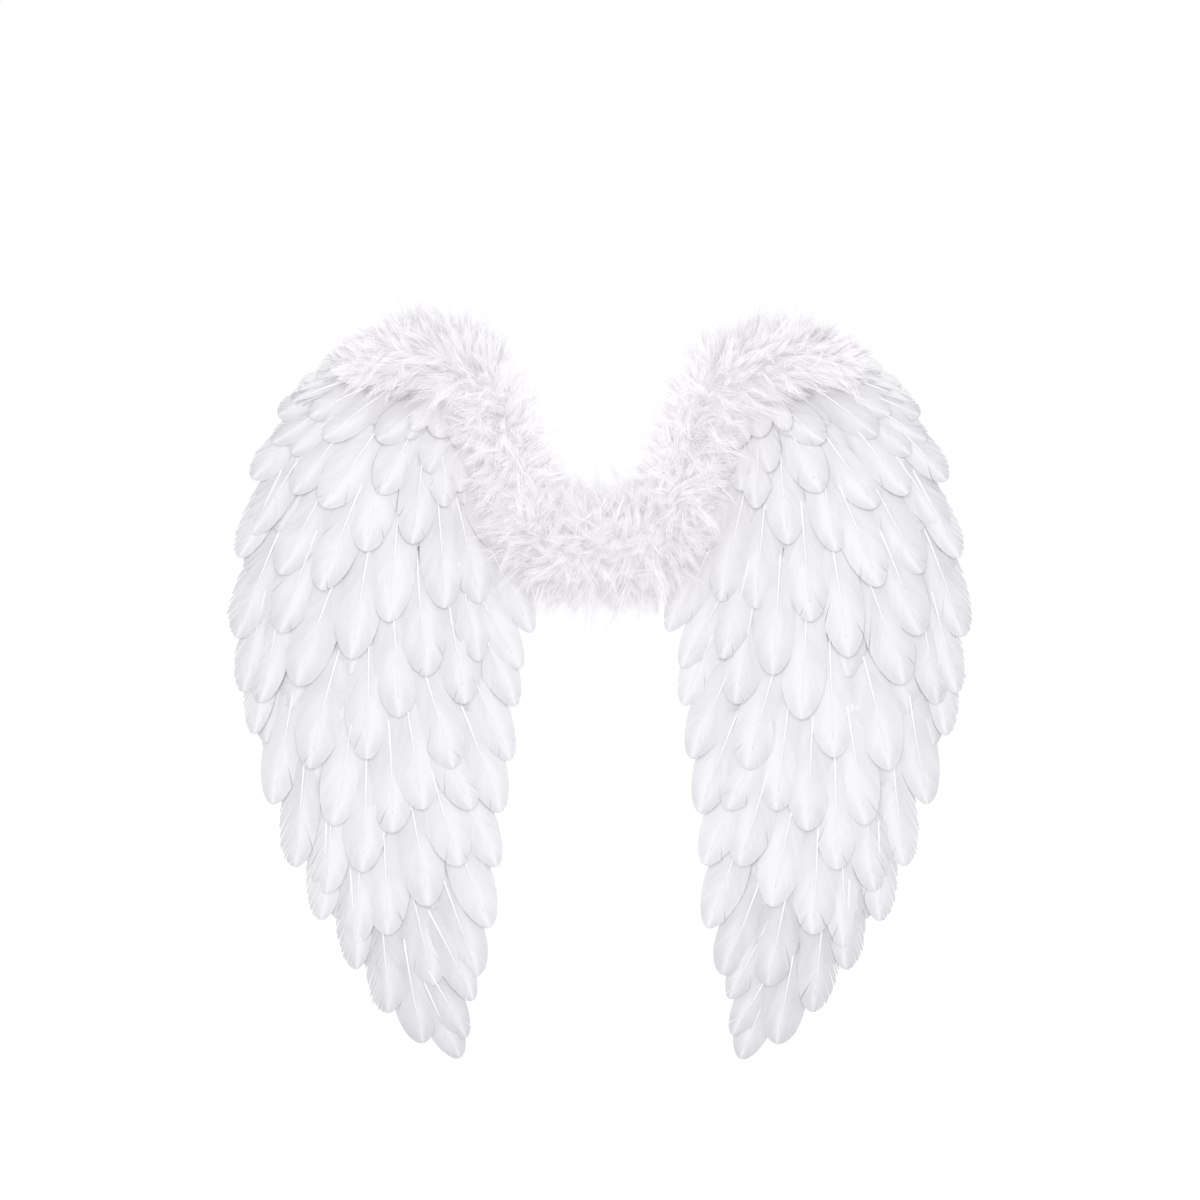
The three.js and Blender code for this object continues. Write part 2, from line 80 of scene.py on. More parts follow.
# The photograph that the feathers' places are read from: its scale and the origin's pixel.
PHOTO_PIXELS = 1200
METRES_PER_PIXEL = 0.00081
ORIGIN_COLUMN = 600
ORIGIN_LINE = 540

# Rows of feathers from the crest to the tip of a wing, each row from its outer end. For each
# feather: the column and line of the photograph where its tip lies, its lean outwards in degrees,
# and its width and length in millimetres.
TIP_COLUMNS = ("column", "line", "lean", "width", "length")
FEATHER_ROWS = [
    [(280, 417, 67, 20, 55), (311, 417, 62, 22, 65), (325, 438, 54, 27, 80),
     (378, 442, 52, 28, 70), (407, 438, 30, 18, 60), (429, 474, 15, 25, 78),
     (459, 491, -3, 28, 88), (474, 470, -10, 22, 75), (489, 484, -12, 22, 75)],
    [(273, 442, 57, 22, 75), (292, 454, 49, 25, 80), (382, 493, 26, 31, 90),
     (444, 507, 0, 27, 85)],
    [(253, 480, 45, 26, 90), (294, 494, 38, 27, 95), (325, 507, 34, 33, 100),
     (412, 543, 6, 31, 105), (494, 550, -16, 28, 100)],
    [(253, 534, 34, 28, 105), (280, 574, 28, 32, 115), (366, 552, 11, 33, 105),
     (444, 609, -5, 34, 118), (479, 602, -12, 34, 118)],
    [(239, 559, 28, 26, 105), (323, 588, 21, 35, 118), (390, 622, 4, 33, 121),
     (531, 632, -26, 30, 115)],
    [(236, 638, 23, 32, 118), (280, 634, 22, 34, 118), (353, 657, 9, 35, 121),
     (427, 674, -5, 35, 121), (478, 660, -13, 30, 115)],
    [(242, 694, 15, 26, 115), (298, 685, 21, 36, 121), (401, 717, -3, 35, 121),
     (464, 702, -10, 33, 121), (519, 668, -27, 30, 112)],
    [(261, 703, 13, 31, 115), (311, 768, 15, 36, 121), (368, 758, 2, 37, 121),
     (454, 767, -15, 35, 118), (516, 707, -24, 31, 110)],
    [(252, 736, 8, 26, 115), (270, 806, 10, 33, 121), (335, 825, 10, 34, 120),
     (425, 810, -8, 36, 120), (509, 760, -23, 33, 115)],
    [(295, 866, 6, 31, 118), (364, 870, 2, 34, 118), (395, 831, -2, 36, 120),
     (473, 810, -24, 31, 108), (500, 814, -21, 33, 112)],
    [(327, 892, 6, 33, 112), (430, 906, -11, 35, 118), (460, 867, -16, 34, 112),
     (496, 866, -23, 32, 106)],
    [(321, 920, 2, 28, 110), (357, 945, 1, 31, 110), (389, 933, -2, 36, 115),
     (491, 929, -20, 33, 106)],
    [(355, 971, -2, 28, 105), (433, 985, -12, 34, 112), (477, 976, -20, 33, 110),
     (472, 1000, -27, 28, 100)],
    [(388, 1013, -5, 32, 108), (423, 1043, -11, 34, 105), (459, 1057, -23, 28, 98),
     (467, 1036, -30, 28, 95)],
]
# Small feathers that come out from under the crest's fluff, from its outer end to the wing's
# inner top corner, with the same columns.
COVERTS = [
    (319, 371, 76, 17, 50), (318, 381, 73, 17, 52), (300, 391, 70, 18, 52),
    (291, 404, 69, 18, 52), (354, 386, 74, 20, 55), (390, 399, 62, 19, 50),
    (412, 430, 33, 15, 42), (438, 437, 14, 24, 54), (452, 430, 6, 26, 52),
    (466, 450, -4, 26, 58), (483, 479, -13, 26, 66), (442, 422, 20, 20, 36),
]

# The outline of a wing panel: level is a share of WING_RISE, the others of WING_REACH.
PANEL_COLUMNS = ("level", "inner", "outer")
PANEL_SECTIONS = [
    (0.255, 0.4, 0.61),
    (0.235, 0.362, 0.7),
    (0.19, 0.357, 0.79),
    (0.12, 0.357, 0.88),
    (0.03, 0.357, 0.92),
    (-0.08, 0.35, 0.91),
    (-0.2, 0.34, 0.87),
    (-0.32, 0.34, 0.8),
    (-0.44, 0.355, 0.7),
    (-0.55, 0.38, 0.58),
    (-0.63, 0.42, 0.47),
]

# The yoke from its middle outwards: its lower edge, and its neck edge, as such shares.
YOKE_COLUMNS = ("out", "level", "neck_out", "neck_level")
YOKE_SECTIONS = [
    (0, -0.063, 0, 0.04),
    (0.13, -0.063, 0.06, 0.045),
    (0.24, -0.035, 0.13, 0.065),
    (0.33, 0.04, 0.18, 0.1),
    (0.38, 0.12, 0.225, 0.15),
    (0.4, 0.18, 0.285, 0.2),
    (0.4, 0.235, 0.35, 0.24),
]

# The roll of fluff from the middle of the yoke to the outer end of the crest: its free side, its
# feather side and its depth as a share of FLUFF_DEPTH.
FLUFF_COLUMNS = ("neck_out", "neck_level", "wing_out", "wing_level", "depth")
FLUFF_SECTIONS = [
    (0, 0.055, 0, -0.075, 1),
    (0.06, 0.057, 0.07, -0.075, 1),
    (0.115, 0.064, 0.15, -0.072, 0.97),
    (0.137, 0.074, 0.207, -0.04, 0.93),
    (0.148, 0.086, 0.247, 0.005, 0.93),
    (0.16, 0.112, 0.27, 0.058, 0.93),
    (0.178, 0.148, 0.29, 0.103, 0.93),
    (0.206, 0.187, 0.315, 0.145, 0.9),
    (0.25, 0.222, 0.335, 0.18, 0.85),
    (0.31, 0.25, 0.375, 0.202, 0.76),
    (0.385, 0.268, 0.43, 0.21, 0.66),
    (0.465, 0.275, 0.49, 0.214, 0.56),
    (0.545, 0.27, 0.55, 0.217, 0.46),
    (0.62, 0.257, 0.61, 0.218, 0.36),
    (0.69, 0.245, 0.67, 0.22, 0.28),
    (0.745, 0.232, 0.72, 0.218, 0.2),
]
# Where the rolls of the yoke, the collar and the crest end, in rows of this table.
YOKE_END = 3.4
COLLAR_END = 8.5
CREST_END = 14

# A shoulder loop from its upper seam to its lower one, and how far it stands behind the yoke.
LOOP_COLUMNS = ("out", "level", "back")
LOOP_POINTS = [
    (0.295, 0.115, 0),
    (0.3, 0.16, 0),
    (0.318, 0.205, 0.1),
    (0.352, 0.234, 0.36),
    (0.38, 0.214, 0.68),
    (0.405, 0.147, 0.91),
    (0.424, 0.058, 1),
    (0.436, -0.033, 0.93),
    (0.432, -0.103, 0.74),
    (0.402, -0.13, 0.46),
    (0.352, -0.112, 0.2),
    (0.305, -0.068, 0.05),
    (0.27, -0.036, 0),
    (0.255, 0.008, 0),
]


def mix(a, b, share):
    return a + (b - a) * share


def smoothstep(low, high, value):
    t = np.clip((value - low) / (high - low), 0, 1)
    return t * t * (3 - 2 * t)


def unit(vectors):
    return vectors / np.maximum(np.linalg.norm(vectors, axis=-1, keepdims=True), 1e-12)


def curve(places, values):
    """A curve without kinks through a table's column, as a function of the place."""
    order = np.argsort(places)
    x = np.array(places, float)[order]
    y = np.array(values, float)[order]
    before = np.maximum(np.arange(len(x)) - 1, 0)
    after = np.minimum(np.arange(len(x)) + 1, len(x) - 1)
    steep = (y[after] - y[before]) / (x[after] - x[before])

    def value(at):
        at = np.clip(at, x[0], x[-1])
        i = np.clip(np.searchsorted(x, at, side="right") - 1, 0, len(x) - 2)
        span = x[i + 1] - x[i]
        t = (at - x[i]) / span
        bend = steep[i] * span * (1 - t) ** 2 * t - steep[i + 1] * span * (1 - t) * t * t
        return y[i] + (y[i + 1] - y[i]) * t * t * (3 - 2 * t) + bend

    return value


def curves(columns, rows, by=None):
    """A curve for each column of a table, over the column named by, or over the row's number."""
    table = dict(zip(columns, zip(*rows)))
    places = table[by] if by else range(len(rows))
    return {name: curve(places, values) for name, values in table.items()}


DOME = curves(DOME_COLUMNS, DOME_SECTIONS, "level")
PANEL = curves(PANEL_COLUMNS, PANEL_SECTIONS, "level")
YOKE = curves(YOKE_COLUMNS, YOKE_SECTIONS)
FLUFF = curves(FLUFF_COLUMNS, FLUFF_SECTIONS)
LOOP = curves(LOOP_COLUMNS, LOOP_POINTS)


def dome_depth(out, level):
    """How far the dome stands out from the yoke's plane at a place on the front view."""
    at = level / WING_RISE
    off = out / WING_REACH - DOME["ridge"](at)
    inwards = np.clip(-off / DOME["inner"](at), 0, 1)
    outwards = np.maximum(off / DOME["outer"](at), 0)
    bump = np.where(off < 0, np.cos(inwards * np.pi / 2) ** 2, 1 - 0.92 * outwards ** 2.3)
    return DOME_DEPTH * DOME["depth"](at) * bump


def wing_point(out, level, lift):
    """Points that stand lift in front of the dome's rear face, on the +X side."""
    step = 0.0005
    across = dome_depth(out + step, level) - dome_depth(out - step, level)
    along = dome_depth(out, level + step) - dome_depth(out, level - step)
    steepness = np.sqrt(1 + (across ** 2 + along ** 2) / (2 * step) ** 2)
    depth = YOKE_WALL + SEAT_GAP + dome_depth(out, level) + lift * steepness
    return np.stack(np.broadcast_arrays(out, -depth, level), axis=-1)


def lengths_along(line):
    """How far each point of a line is along it."""
    steps = np.linalg.norm(np.diff(line, axis=0), axis=1)
    return np.concatenate([[0], np.cumsum(steps)])


def paired(first, second):
    """Two arrays of coordinates as one array of pairs."""
    return np.stack(np.broadcast_arrays(first, second), axis=-1)


class Collector:
    """Grids, rings and strands that end up in one mesh."""

    def __init__(self):
        self.points = []
        self.uvs = []
        self.tones = []
        self.quads = []
        self.triangles = []
        self.quad_materials = []
        self.size = 0

    def add(self, points, uvs, tone, quads, triangles=None, material=0):
        points = points.reshape(-1, 3)
        self.points.append(points)
        self.uvs.append(np.broadcast_to(uvs.reshape(-1, 2), (len(points), 2)))
        self.tones.append(np.broadcast_to(np.ravel(tone), (len(points),)))
        self.quads.append(quads.reshape(-1, 4) + self.size)
        self.quad_materials.append(np.full(len(self.quads[-1]), material))
        if triangles is not None:
            self.triangles.append(triangles.reshape(-1, 3) + self.size)
        self.size += len(points)

    def grid(self, points, uvs, tone=0.5, material=0, keep=None, turned=False):
        """A grid of rows and columns of points. keep leaves quads out, turned faces it back."""
        rows, columns = points.shape[:2]
        number = np.arange(rows * columns).reshape(rows, columns)
        quads = np.stack(
            [number[:-1, :-1], number[1:, :-1], number[1:, 1:], number[:-1, 1:]], axis=-1)
        if turned:
            quads = quads[..., ::-1]
        if keep is not None:
            quads = quads[keep]
        self.add(points, uvs, tone, quads, material=material)

    def rings(self, points, uvs, tone=0.5, material=0):
        """A tube through rings of points, closed round each ring and at both ends."""
        rows, around = points.shape[:2]
        number = np.arange(rows * around).reshape(rows, around)
        after = np.roll(number, -1, axis=1)
        quads = np.stack([number[:-1], number[1:], after[1:], after[:-1]], axis=-1).reshape(-1, 4)
        half = np.arange(around // 2 - 1)
        ladder = np.stack([half, half + 1, around - 2 - half, around - 1 - half], axis=-1)
        quads = np.concatenate([quads, number[0][ladder], number[-1][ladder][:, ::-1]])
        self.add(points, uvs, tone, quads, material=material)

    def mirror(self):
        self.points = [points * (-1, 1, 1) for points in self.points]
        self.quads = [quads[:, ::-1] for quads in self.quads]
        self.triangles = [triangles[:, ::-1] for triangles in self.triangles]

    def build(self, name, materials):
        """One mesh piece on the root body, mirrored where its name says left."""
        if name.startswith("left"):
            self.mirror()
        mesh = bpy.data.meshes.new(name)
        points = np.concatenate(self.points).astype(np.float32)
        quads = np.concatenate(self.quads)
        triangles = np.concatenate(self.triangles) if self.triangles else np.zeros((0, 3), int)
        corners = np.concatenate([quads.ravel(), triangles.ravel()]).astype(np.int32)
        quad_starts = np.arange(len(quads)) * 4
        triangle_starts = len(quads) * 4 + np.arange(len(triangles)) * 3
        mesh.vertices.add(len(points))
        mesh.vertices.foreach_set("co", points.ravel())
        mesh.loops.add(len(corners))
        mesh.loops.foreach_set("vertex_index", corners)
        mesh.polygons.add(len(quads) + len(triangles))
        starts = np.concatenate([quad_starts, triangle_starts]).astype(np.int32)
        mesh.polygons.foreach_set("loop_start", starts)
        kinds = np.zeros(len(starts), np.int32)
        kinds[:len(quads)] = np.concatenate(self.quad_materials)
        mesh.polygons.foreach_set("material_index", kinds)
        uvs = np.concatenate(self.uvs)[corners].astype(np.float32)
        mesh.uv_layers.new(name="UVMap").uv.foreach_set("vector", uvs.ravel())
        tones = mesh.attributes.new("tone", "FLOAT", "POINT")
        tones.data.foreach_set("value", np.concatenate(self.tones).astype(np.float32))
        for material in materials:
            mesh.materials.append(material)
        mesh.update(calc_edges=True)
        mesh.validate()
        mesh.shade_smooth()
        piece = bpy.data.objects.new(name, mesh)
        bpy.context.scene.collection.objects.link(piece)
        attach(piece, "root")
        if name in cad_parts:
            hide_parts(name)


# Materials

SHADER = "Principled BSDF"


def new_material(name, roughness, **sockets):
    made = bpy.data.materials.new(name)
    made.use_nodes = True
    shader = made.node_tree.nodes[SHADER]
    shader.inputs["Roughness"].default_value = roughness
    for socket, value in sockets.items():
        shader.inputs[socket.replace("_", " ")].default_value = value
    return made


def node(material, kind, settings=None, **inputs):
    """A new node. Inputs are sockets to link or values; _0 and so on name a socket by number."""
    made = material.node_tree.nodes.new("ShaderNode" + kind)
    for name, value in (settings or {}).items():
        setattr(made, name, value)
    for name, value in inputs.items():
        key = int(name[1:]) if name[1:].isdigit() else name.replace("_", " ")
        if isinstance(value, bpy.types.NodeSocket):
            material.node_tree.links.new(value, made.inputs[key])
        else:
            made.inputs[key].default_value = value
    return made


def surface_place(material):
    return node(material, "UVMap", {"uv_map": "UVMap"}).outputs[0]


def object_place(material):
    return node(material, "TexCoord").outputs["Object"]


def tone_of(material):
    return node(material, "Attribute", {"attribute_name": "tone"}).outputs["Fac"]


def noise(material, vector, scale, detail=2.0, roughness=0.5):
    """Noise at a scale, or at a scale for each axis."""
    if isinstance(scale, tuple):
        vector = node(material, "VectorMath", {"operation": "MULTIPLY"}, _0=vector, _1=scale)
        vector, scale = vector.outputs[0], 1.0
    made = node(material, "TexNoise", None, Vector=vector, Scale=scale, Detail=detail,
                Roughness=roughness)
    return made.outputs["Fac"]


def ranged(material, value, from_low, from_high, low, high):
    made = node(material, "MapRange", None, Value=value, From_Min=from_low, From_Max=from_high,
                To_Min=low, To_Max=high)
    return made.outputs["Result"]


def total(material, first, second, share):
    """Two heights added, the second by a share."""
    made = node(material, "Math", {"operation": "MULTIPLY_ADD"}, _0=second, _1=share, _2=first)
    return made.outputs[0]


def bumped(material, height, distance, strength):
    made = node(material, "Bump", None, Height=height, Distance=distance, Strength=strength)
    shader = material.node_tree.nodes[SHADER]
    material.node_tree.links.new(made.outputs["Normal"], shader.inputs["Normal"])


def coloured(material, light, shade, share):
    made = node(material, "Mix", {"data_type": "RGBA"}, _0=share, _6=light, _7=shade)
    shader = material.node_tree.nodes[SHADER]
    material.node_tree.links.new(made.outputs[2], shader.inputs["Base Color"])


VANE_LIGHT = (0.83, 0.822, 0.848, 1)
VANE_SHADE = (0.56, 0.552, 0.584, 1)
SHAFT_LIGHT = (0.96, 0.955, 0.965, 1)
SHAFT_SHADE = (0.86, 0.853, 0.872, 1)
DOWN_LIGHT = (0.92, 0.913, 0.93, 1)
DOWN_SHADE = (0.8, 0.792, 0.815, 1)
# Painted light: a small glow of the barbs' own. It stands in for light that passes through thin
# barbs, and it lifts the shade deep in the down and between the feathers.
VANE_PAINTED_GLOW = 0.03
DOWN_PAINTED_GLOW = 0.13
FELT_LIGHT = (0.88, 0.875, 0.885, 1)
FELT_SHADE = (0.78, 0.775, 0.79, 1)
ELASTIC_LIGHT = (0.88, 0.88, 0.885, 1)
ELASTIC_SHADE = (0.66, 0.66, 0.68, 1)


def vane_material():
    """Barbs: fine and broad streaking from shaft to edge, a tone for each feather, painted shade.
    """
    made = new_material("feather_vane", 0.62, Sheen_Weight=0.15, Sheen_Roughness=0.5,
                        Emission_Color=(1, 0.99, 1, 1), Emission_Strength=VANE_PAINTED_GLOW)
    barbs = surface_place(made)
    fine = noise(made, barbs, (0.9, 0.9, 1), 2.0, 0.6)
    broad = noise(made, barbs, (0.22, 0.8, 1), 2.0, 0.5)
    soft = noise(made, barbs, (0.05, 1.3, 1), 1.0, 0.5)
    tone = tone_of(made)
    # The tone attribute brings painted shade and a painted highlight into this mix with the barb
    # grain.
    shade_and_barb_grain = total(made, total(made, tone, soft, 0.9), total(made, broad, fine, 1.0), 0.45)
    share = ranged(made, shade_and_barb_grain, 0.9, 2.7, 0.0, 1.0)
    coloured(made, VANE_LIGHT, VANE_SHADE, share)
    bumped(made, total(made, broad, fine, 0.8), 0.0005, 0.5)
    return made


def shaft_material():
    made = new_material("feather_shaft", 0.38, Coat_Weight=0.1)
    along = surface_place(made)
    grain = noise(made, along, (0.3, 6, 1), 3.0)
    tone = tone_of(made)
    share = ranged(made, total(made, tone, grain, 0.6), 0.2, 1.5, 0, 1)
    coloured(made, SHAFT_LIGHT, SHAFT_SHADE, share)
    bumped(made, grain, 0.0001, 0.4)
    return made


def down_material():
    """Down barbs: painted shade at the root, deep in the fluff, lighter at the tip, a tone per
    tuft.
    """
    made = new_material("marabou_down", 0.85, Sheen_Weight=0.2, Sheen_Roughness=0.6,
                        Emission_Color=(1, 0.99, 1, 1), Emission_Strength=DOWN_PAINTED_GLOW)
    strand = surface_place(made)
    place = object_place(made)
    cloud = noise(made, place, 90.0, 2.0)
    along = node(made, "SeparateXYZ", None, Vector=strand).outputs["Y"]
    tone = tone_of(made)
    # Painted shade: the strands darken towards their roots, deep in the fluff.
    share = ranged(made, total(made, total(made, cloud, along, -0.45), tone, 0.5), 0.1, 1.0, 0, 1)
    coloured(made, DOWN_LIGHT, DOWN_SHADE, share)
    bumped(made, noise(made, strand, (3, 20, 1)), 0.0002, 0.3)
    return made


def felt_material():
    """Pressed felt: matted fibres over soft uneven patches."""
    made = new_material("pressed_felt", 0.95, Sheen_Weight=0.3, Sheen_Roughness=0.7)
    place = object_place(made)
    fibres = noise(made, place, (900, 900, 1440), 4.0, 0.7)
    patches = noise(made, place, 60.0, 3.0)
    share = ranged(made, total(made, patches, fibres, 0.8), 0.6, 1.2, 0, 1)
    coloured(made, FELT_LIGHT, FELT_SHADE, share)
    bumped(made, total(made, fibres, patches, 0.5), 0.0006, 0.7)
    return made


def elastic_material():
    """Woven elastic: ribs along the band, crossed by fine picks. UVs are in millimetres."""
    made = new_material("woven_elastic", 0.75, Sheen_Weight=0.2)
    band = surface_place(made)
    ribs = node(made, "TexWave", {"bands_direction": "Y"}, Vector=band, Scale=0.28,
                Distortion=0.3, Detail=1.0).outputs["Fac"]
    picks = node(made, "TexWave", {"bands_direction": "X"}, Vector=band, Scale=0.42,
                 Distortion=0.6, Detail=1.0).outputs["Fac"]
    wear = noise(made, band, 0.15, 3.0)
    weave = total(made, ribs, picks, 0.6)
    share = ranged(made, total(made, weave, wear, 0.5), 1.7, 0.3, 0, 1)
    coloured(made, ELASTIC_LIGHT, ELASTIC_SHADE, share)
    bumped(made, weave, 0.0004, 0.7)
    return made


def thread_material():
    made = new_material("sewing_thread", 0.7, Sheen_Weight=0.2)
    place = object_place(made)
    twist = noise(made, place, 2500.0, 2.0)
    coloured(made, FELT_LIGHT, FELT_SHADE, twist)
    bumped(made, twist, 0.0002, 0.6)
    return made


VANE = vane_material()
SHAFT = shaft_material()
DOWN = down_material()
FELT = felt_material()
ELASTIC = elastic_material()
THREAD = thread_material()


# Feathers

BARBS = 72
UNDER_BARBS = 28
VANE_STEPS = np.array([0, 0.18, 0.4, 0.64, 0.85, 1.0])
BARE_QUILL = 0.06
# How far a barb goes sideways for each millimetre along the shaft, at the quill and beyond it.
BARB_SPREAD = (1.5, 0.5)
WIDEST = 0.62
# The shaft ends at this share of the feather. Its radii are at the tip and, on top of that, at
# the quill.
SHAFT_END = 0.87
SHAFT_RADII = (0.00004, 0.0013)
SHAFT_SIDES = 6
SHAFT_RINGS = 13
QUILL_MILLIMETRES = 30
# Feathers that show only in the gaps between others lie a little back and a little lower, and
# are greyer, as painted shade.
UNDER_BACK = 0.021
UNDER_DROP = 0.0017
UNDER_PAINTED_SHADE = 0.3
# A feather rises from the tape to its bed in its first third, and then to its tip, the more the
# nearer the tip is.
BED_LIFT = 0.0044
TIP_RISE = 0.0036
TIP_BEND = 0.04
# How a feather's surface is formed across and along.
ARCH = 0.0006
CURL = 0.0006
ROOF = 0.0004
BULGE = 0.0005
RIPPLE = 0.00009
# A split lies between these numbers of barbs from the quill and from the tip.
SPLIT_MARGINS = (22, 12)
SPLIT_STEP = 5
SPLIT_RISE = 0.0002
# Teeth of an outermost feather: how many, where the first and the last may be, the barbs in one,
# and how ragged they are.
TEETH = 12
TOOTH_MARGINS = (8, 4)
TOOTH_BARBS = (4, 10)
TOOTH_NOTCH = (0.08, 0.03)
TOOTH_RAGGED = 0.05
# Tones are greyer the higher they are. What each part of a feather adds to its own: a tone at
# random, a painted highlight band, painted shade on the outer vane, a painted shadow at the root
# under the feather above, painted shade along the edge and at the tip, and greyer teeth.
TONE_SPREAD = 0.3
OUTER_VANE_PAINTED_SHADE = 0.12
PAINTED_HIGHLIGHT_BAND = -0.45
BAND_WIDTH = 0.3
ROOT_PAINTED_SHADOW = 0.4
VANE_EDGE_PAINTED_SHADE = 0.3
TIP_PAINTED_SHADE = 0.35
TOOTH_TONE = 0.2
# The painted shade that each part of a wing adds to the tone of its feathers; below zero it is
# painted light.
POINT_PAINTED_SHADE = 0.7
SHOULDER_PAINTED_SHADE = 0.35
CORNER_PAINTED_LIGHT = -0.2
OUTER_EDGE_PAINTED_SHADE = 0.15
# How the outermost and the innermost feather of a row differ from the others.
OUTERMOST = {"teeth": True, "ragged": 0.015}
INNERMOST = {"blunt": 1.55, "splits": 1}
# The crest's small feathers. Those further out than DOWNY_FROM are half downy; the others get
# painted light against the shade under the fluff.
SMALL_FEATHER = {"seat": CREST_SEAT, "bed": 0.002}
DOWNY_FROM = 0.165
DOWNY_FEATHER = {"loose": 0.4, "ragged": 0.06}
CORNER_FEATHER = {"ragged": 0.03, "grey": -0.25, "bed": 0.0036}


def painted_shade_at(out, level):
    """The painted shade on feathers towards the wing's point, its outer shoulder and outer edge.

    They get painted light at the wing's inner top corner, against the shade under the fluff there.
    """
    point = POINT_PAINTED_SHADE * smoothstep(-0.29, -0.4, level)
    shoulder = SHOULDER_PAINTED_SHADE * smoothstep(0.0, 0.12, level) * smoothstep(0.11, 0.18, out)
    corner = CORNER_PAINTED_LIGHT * smoothstep(0.0, 0.06, level) * smoothstep(0.15, 0.11, out)
    return point + shoulder + corner + OUTER_EDGE_PAINTED_SHADE * smoothstep(0.2, 0.27, out)


def feather_place(out, level, lean, width, length, rng):
    """One feather: where it lies, its size and its small irregularities.

    Its barbs hang together as far as loose, a share of their length. Half is half its width, and
    band is where a painted highlight band lies across it, from -1 to 1.
    """
    def either_way(most):
        return rng.uniform(-1, 1) * most

    half = width / 2 * rng.uniform(1.0, 1.06)
    length = length * rng.uniform(0.97, 1.03)
    return {
        "out": out + either_way(0.001),
        "level": level + either_way(0.0015),
        "lean": lean + either_way(0.025),
        "length": length,
        "half": half,
        "blunt": rng.uniform(2.0, 2.6),
        "bow": either_way(0.0015),
        "twist": either_way(0.0005),
        "lift": either_way(0.0003),
        "tone": rng.uniform(0, 1),
        "seed": rng.integers(1, 9000),
        "bed": BED_LIFT,
        "seat": FEATHER_SEAT + TAPE_WALL,
        "barbs": BARBS,
        "splits": rng.integers(0, 2),
        "band": rng.uniform(-0.45, 0.1),
        # The painted shade of the feather's place on the wing, painted light where it is below
        # zero.
        "grey": painted_shade_at(out, level),
        "teeth": False,
        "ragged": 0.01,
        "loose": 2,
    }


def tip_place(tip, rng):
    """The feather whose tip the photograph shows at a row of the table."""
    tip = dict(zip(TIP_COLUMNS, tip))
    return feather_place(
        (ORIGIN_COLUMN - tip["column"]) * METRES_PER_PIXEL,
        (ORIGIN_LINE - tip["line"]) * METRES_PER_PIXEL,
        math.radians(tip["lean"]), tip["width"] / 1000, tip["length"] / 1000, rng)


def place_between(first, second, rng):
    """A feather under two neighbours, so that no gap opens between them."""
    lean = (first["lean"] + second["lean"]) / 2
    made = feather_place(
        (first["out"] + second["out"]) / 2 - UNDER_BACK * math.sin(lean),
        (first["level"] + second["level"]) / 2 + UNDER_BACK * math.cos(lean),
        lean, first["half"] + second["half"], (first["length"] + second["length"]) / 2, rng)
    # Painted shade: an under-feather is greyer, as if shaded by its neighbours.
    made.update(barbs=UNDER_BARBS, splits=0, seat=made["seat"] - UNDER_DROP,
                grey=made["grey"] + UNDER_PAINTED_SHADE, lift=0)
    return made


def vane_width(reach, blunt):
    """The half width at reach, from quill 0 to tip 1, as a share of the widest."""
    rise = np.sin(np.pi / 2 * np.clip(reach / WIDEST, 0, 1)) ** 0.7
    fall = (1 - np.clip((reach - WIDEST) / (1 - WIDEST), 0, 1) ** blunt) ** 0.54
    return np.where(reach < WIDEST, rise, fall)


def barb_ends(start, place):
    """Where the barbs that leave the shaft at start meet the feather's outline."""
    spread = mix(*BARB_SPREAD, smoothstep(0, 0.35, start)) * place["length"]
    low, high = start, np.ones_like(start)
    for _ in range(20):
        middle = (low + high) / 2
        edge = place["half"] * vane_width(middle, place["blunt"])
        inside = (middle - start) * spread < edge
        low = np.where(inside, middle, low)
        high = np.where(inside, high, middle)
    return low


def on_feather(place, reach, aside, rise):
    """Points at reach along a feather and aside from its shaft, rise above its middle surface."""
    aside = aside + place["bow"] * 4 * reach * (1 - reach)
    back = (1 - reach) * place["length"]
    sine, cosine = math.sin(place["lean"]), math.cos(place["lean"])
    out = place["out"] - back * sine + aside * cosine
    level = place["level"] + back * cosine + aside * sine
    lift = place["seat"] + place["lift"] + place["bed"] * smoothstep(0, 0.3, reach) + rise
    lift = lift + TIP_RISE * np.exp(-back / TIP_BEND)
    return wing_point(out, level, lift)


def crown(place, reach, aside):
    """How a feather's surface rises and falls across and along."""
    share = aside / place["half"]
    arch = ARCH * np.sin(np.pi * reach)
    curl = -CURL * smoothstep(0.8, 1, reach) ** 1.5
    roof = -ROOF * np.abs(share) - ROOF * share ** 2
    return arch + curl + roof - place["twist"] * share


def barb_starts(barbs, cuts):
    """Where the barbs leave the shaft, closer towards the tip, with two in one place at a cut."""
    t = np.linspace(0, 1, barbs - len(cuts))
    start = BARE_QUILL + (1 - BARE_QUILL) * (1 - (1 - t) ** 1.25)
    for cut in cuts:
        start = np.insert(start, cut, start[cut])
    return start


def barb_cuts(place, toothed, rng):
    """The barbs after which a vane is open, at its splits or between its teeth."""
    barbs = place["barbs"]
    choices = np.arange(SPLIT_MARGINS[0], barbs - SPLIT_MARGINS[1], SPLIT_STEP)
    splits = np.sort(rng.choice(choices, place["splits"], replace=False))
    if not toothed:
        return splits
    cuts = TOOTH_MARGINS[0] + np.cumsum(rng.integers(*TOOTH_BARBS, TEETH))
    return cuts[cuts < barbs - TOOTH_MARGINS[1]]


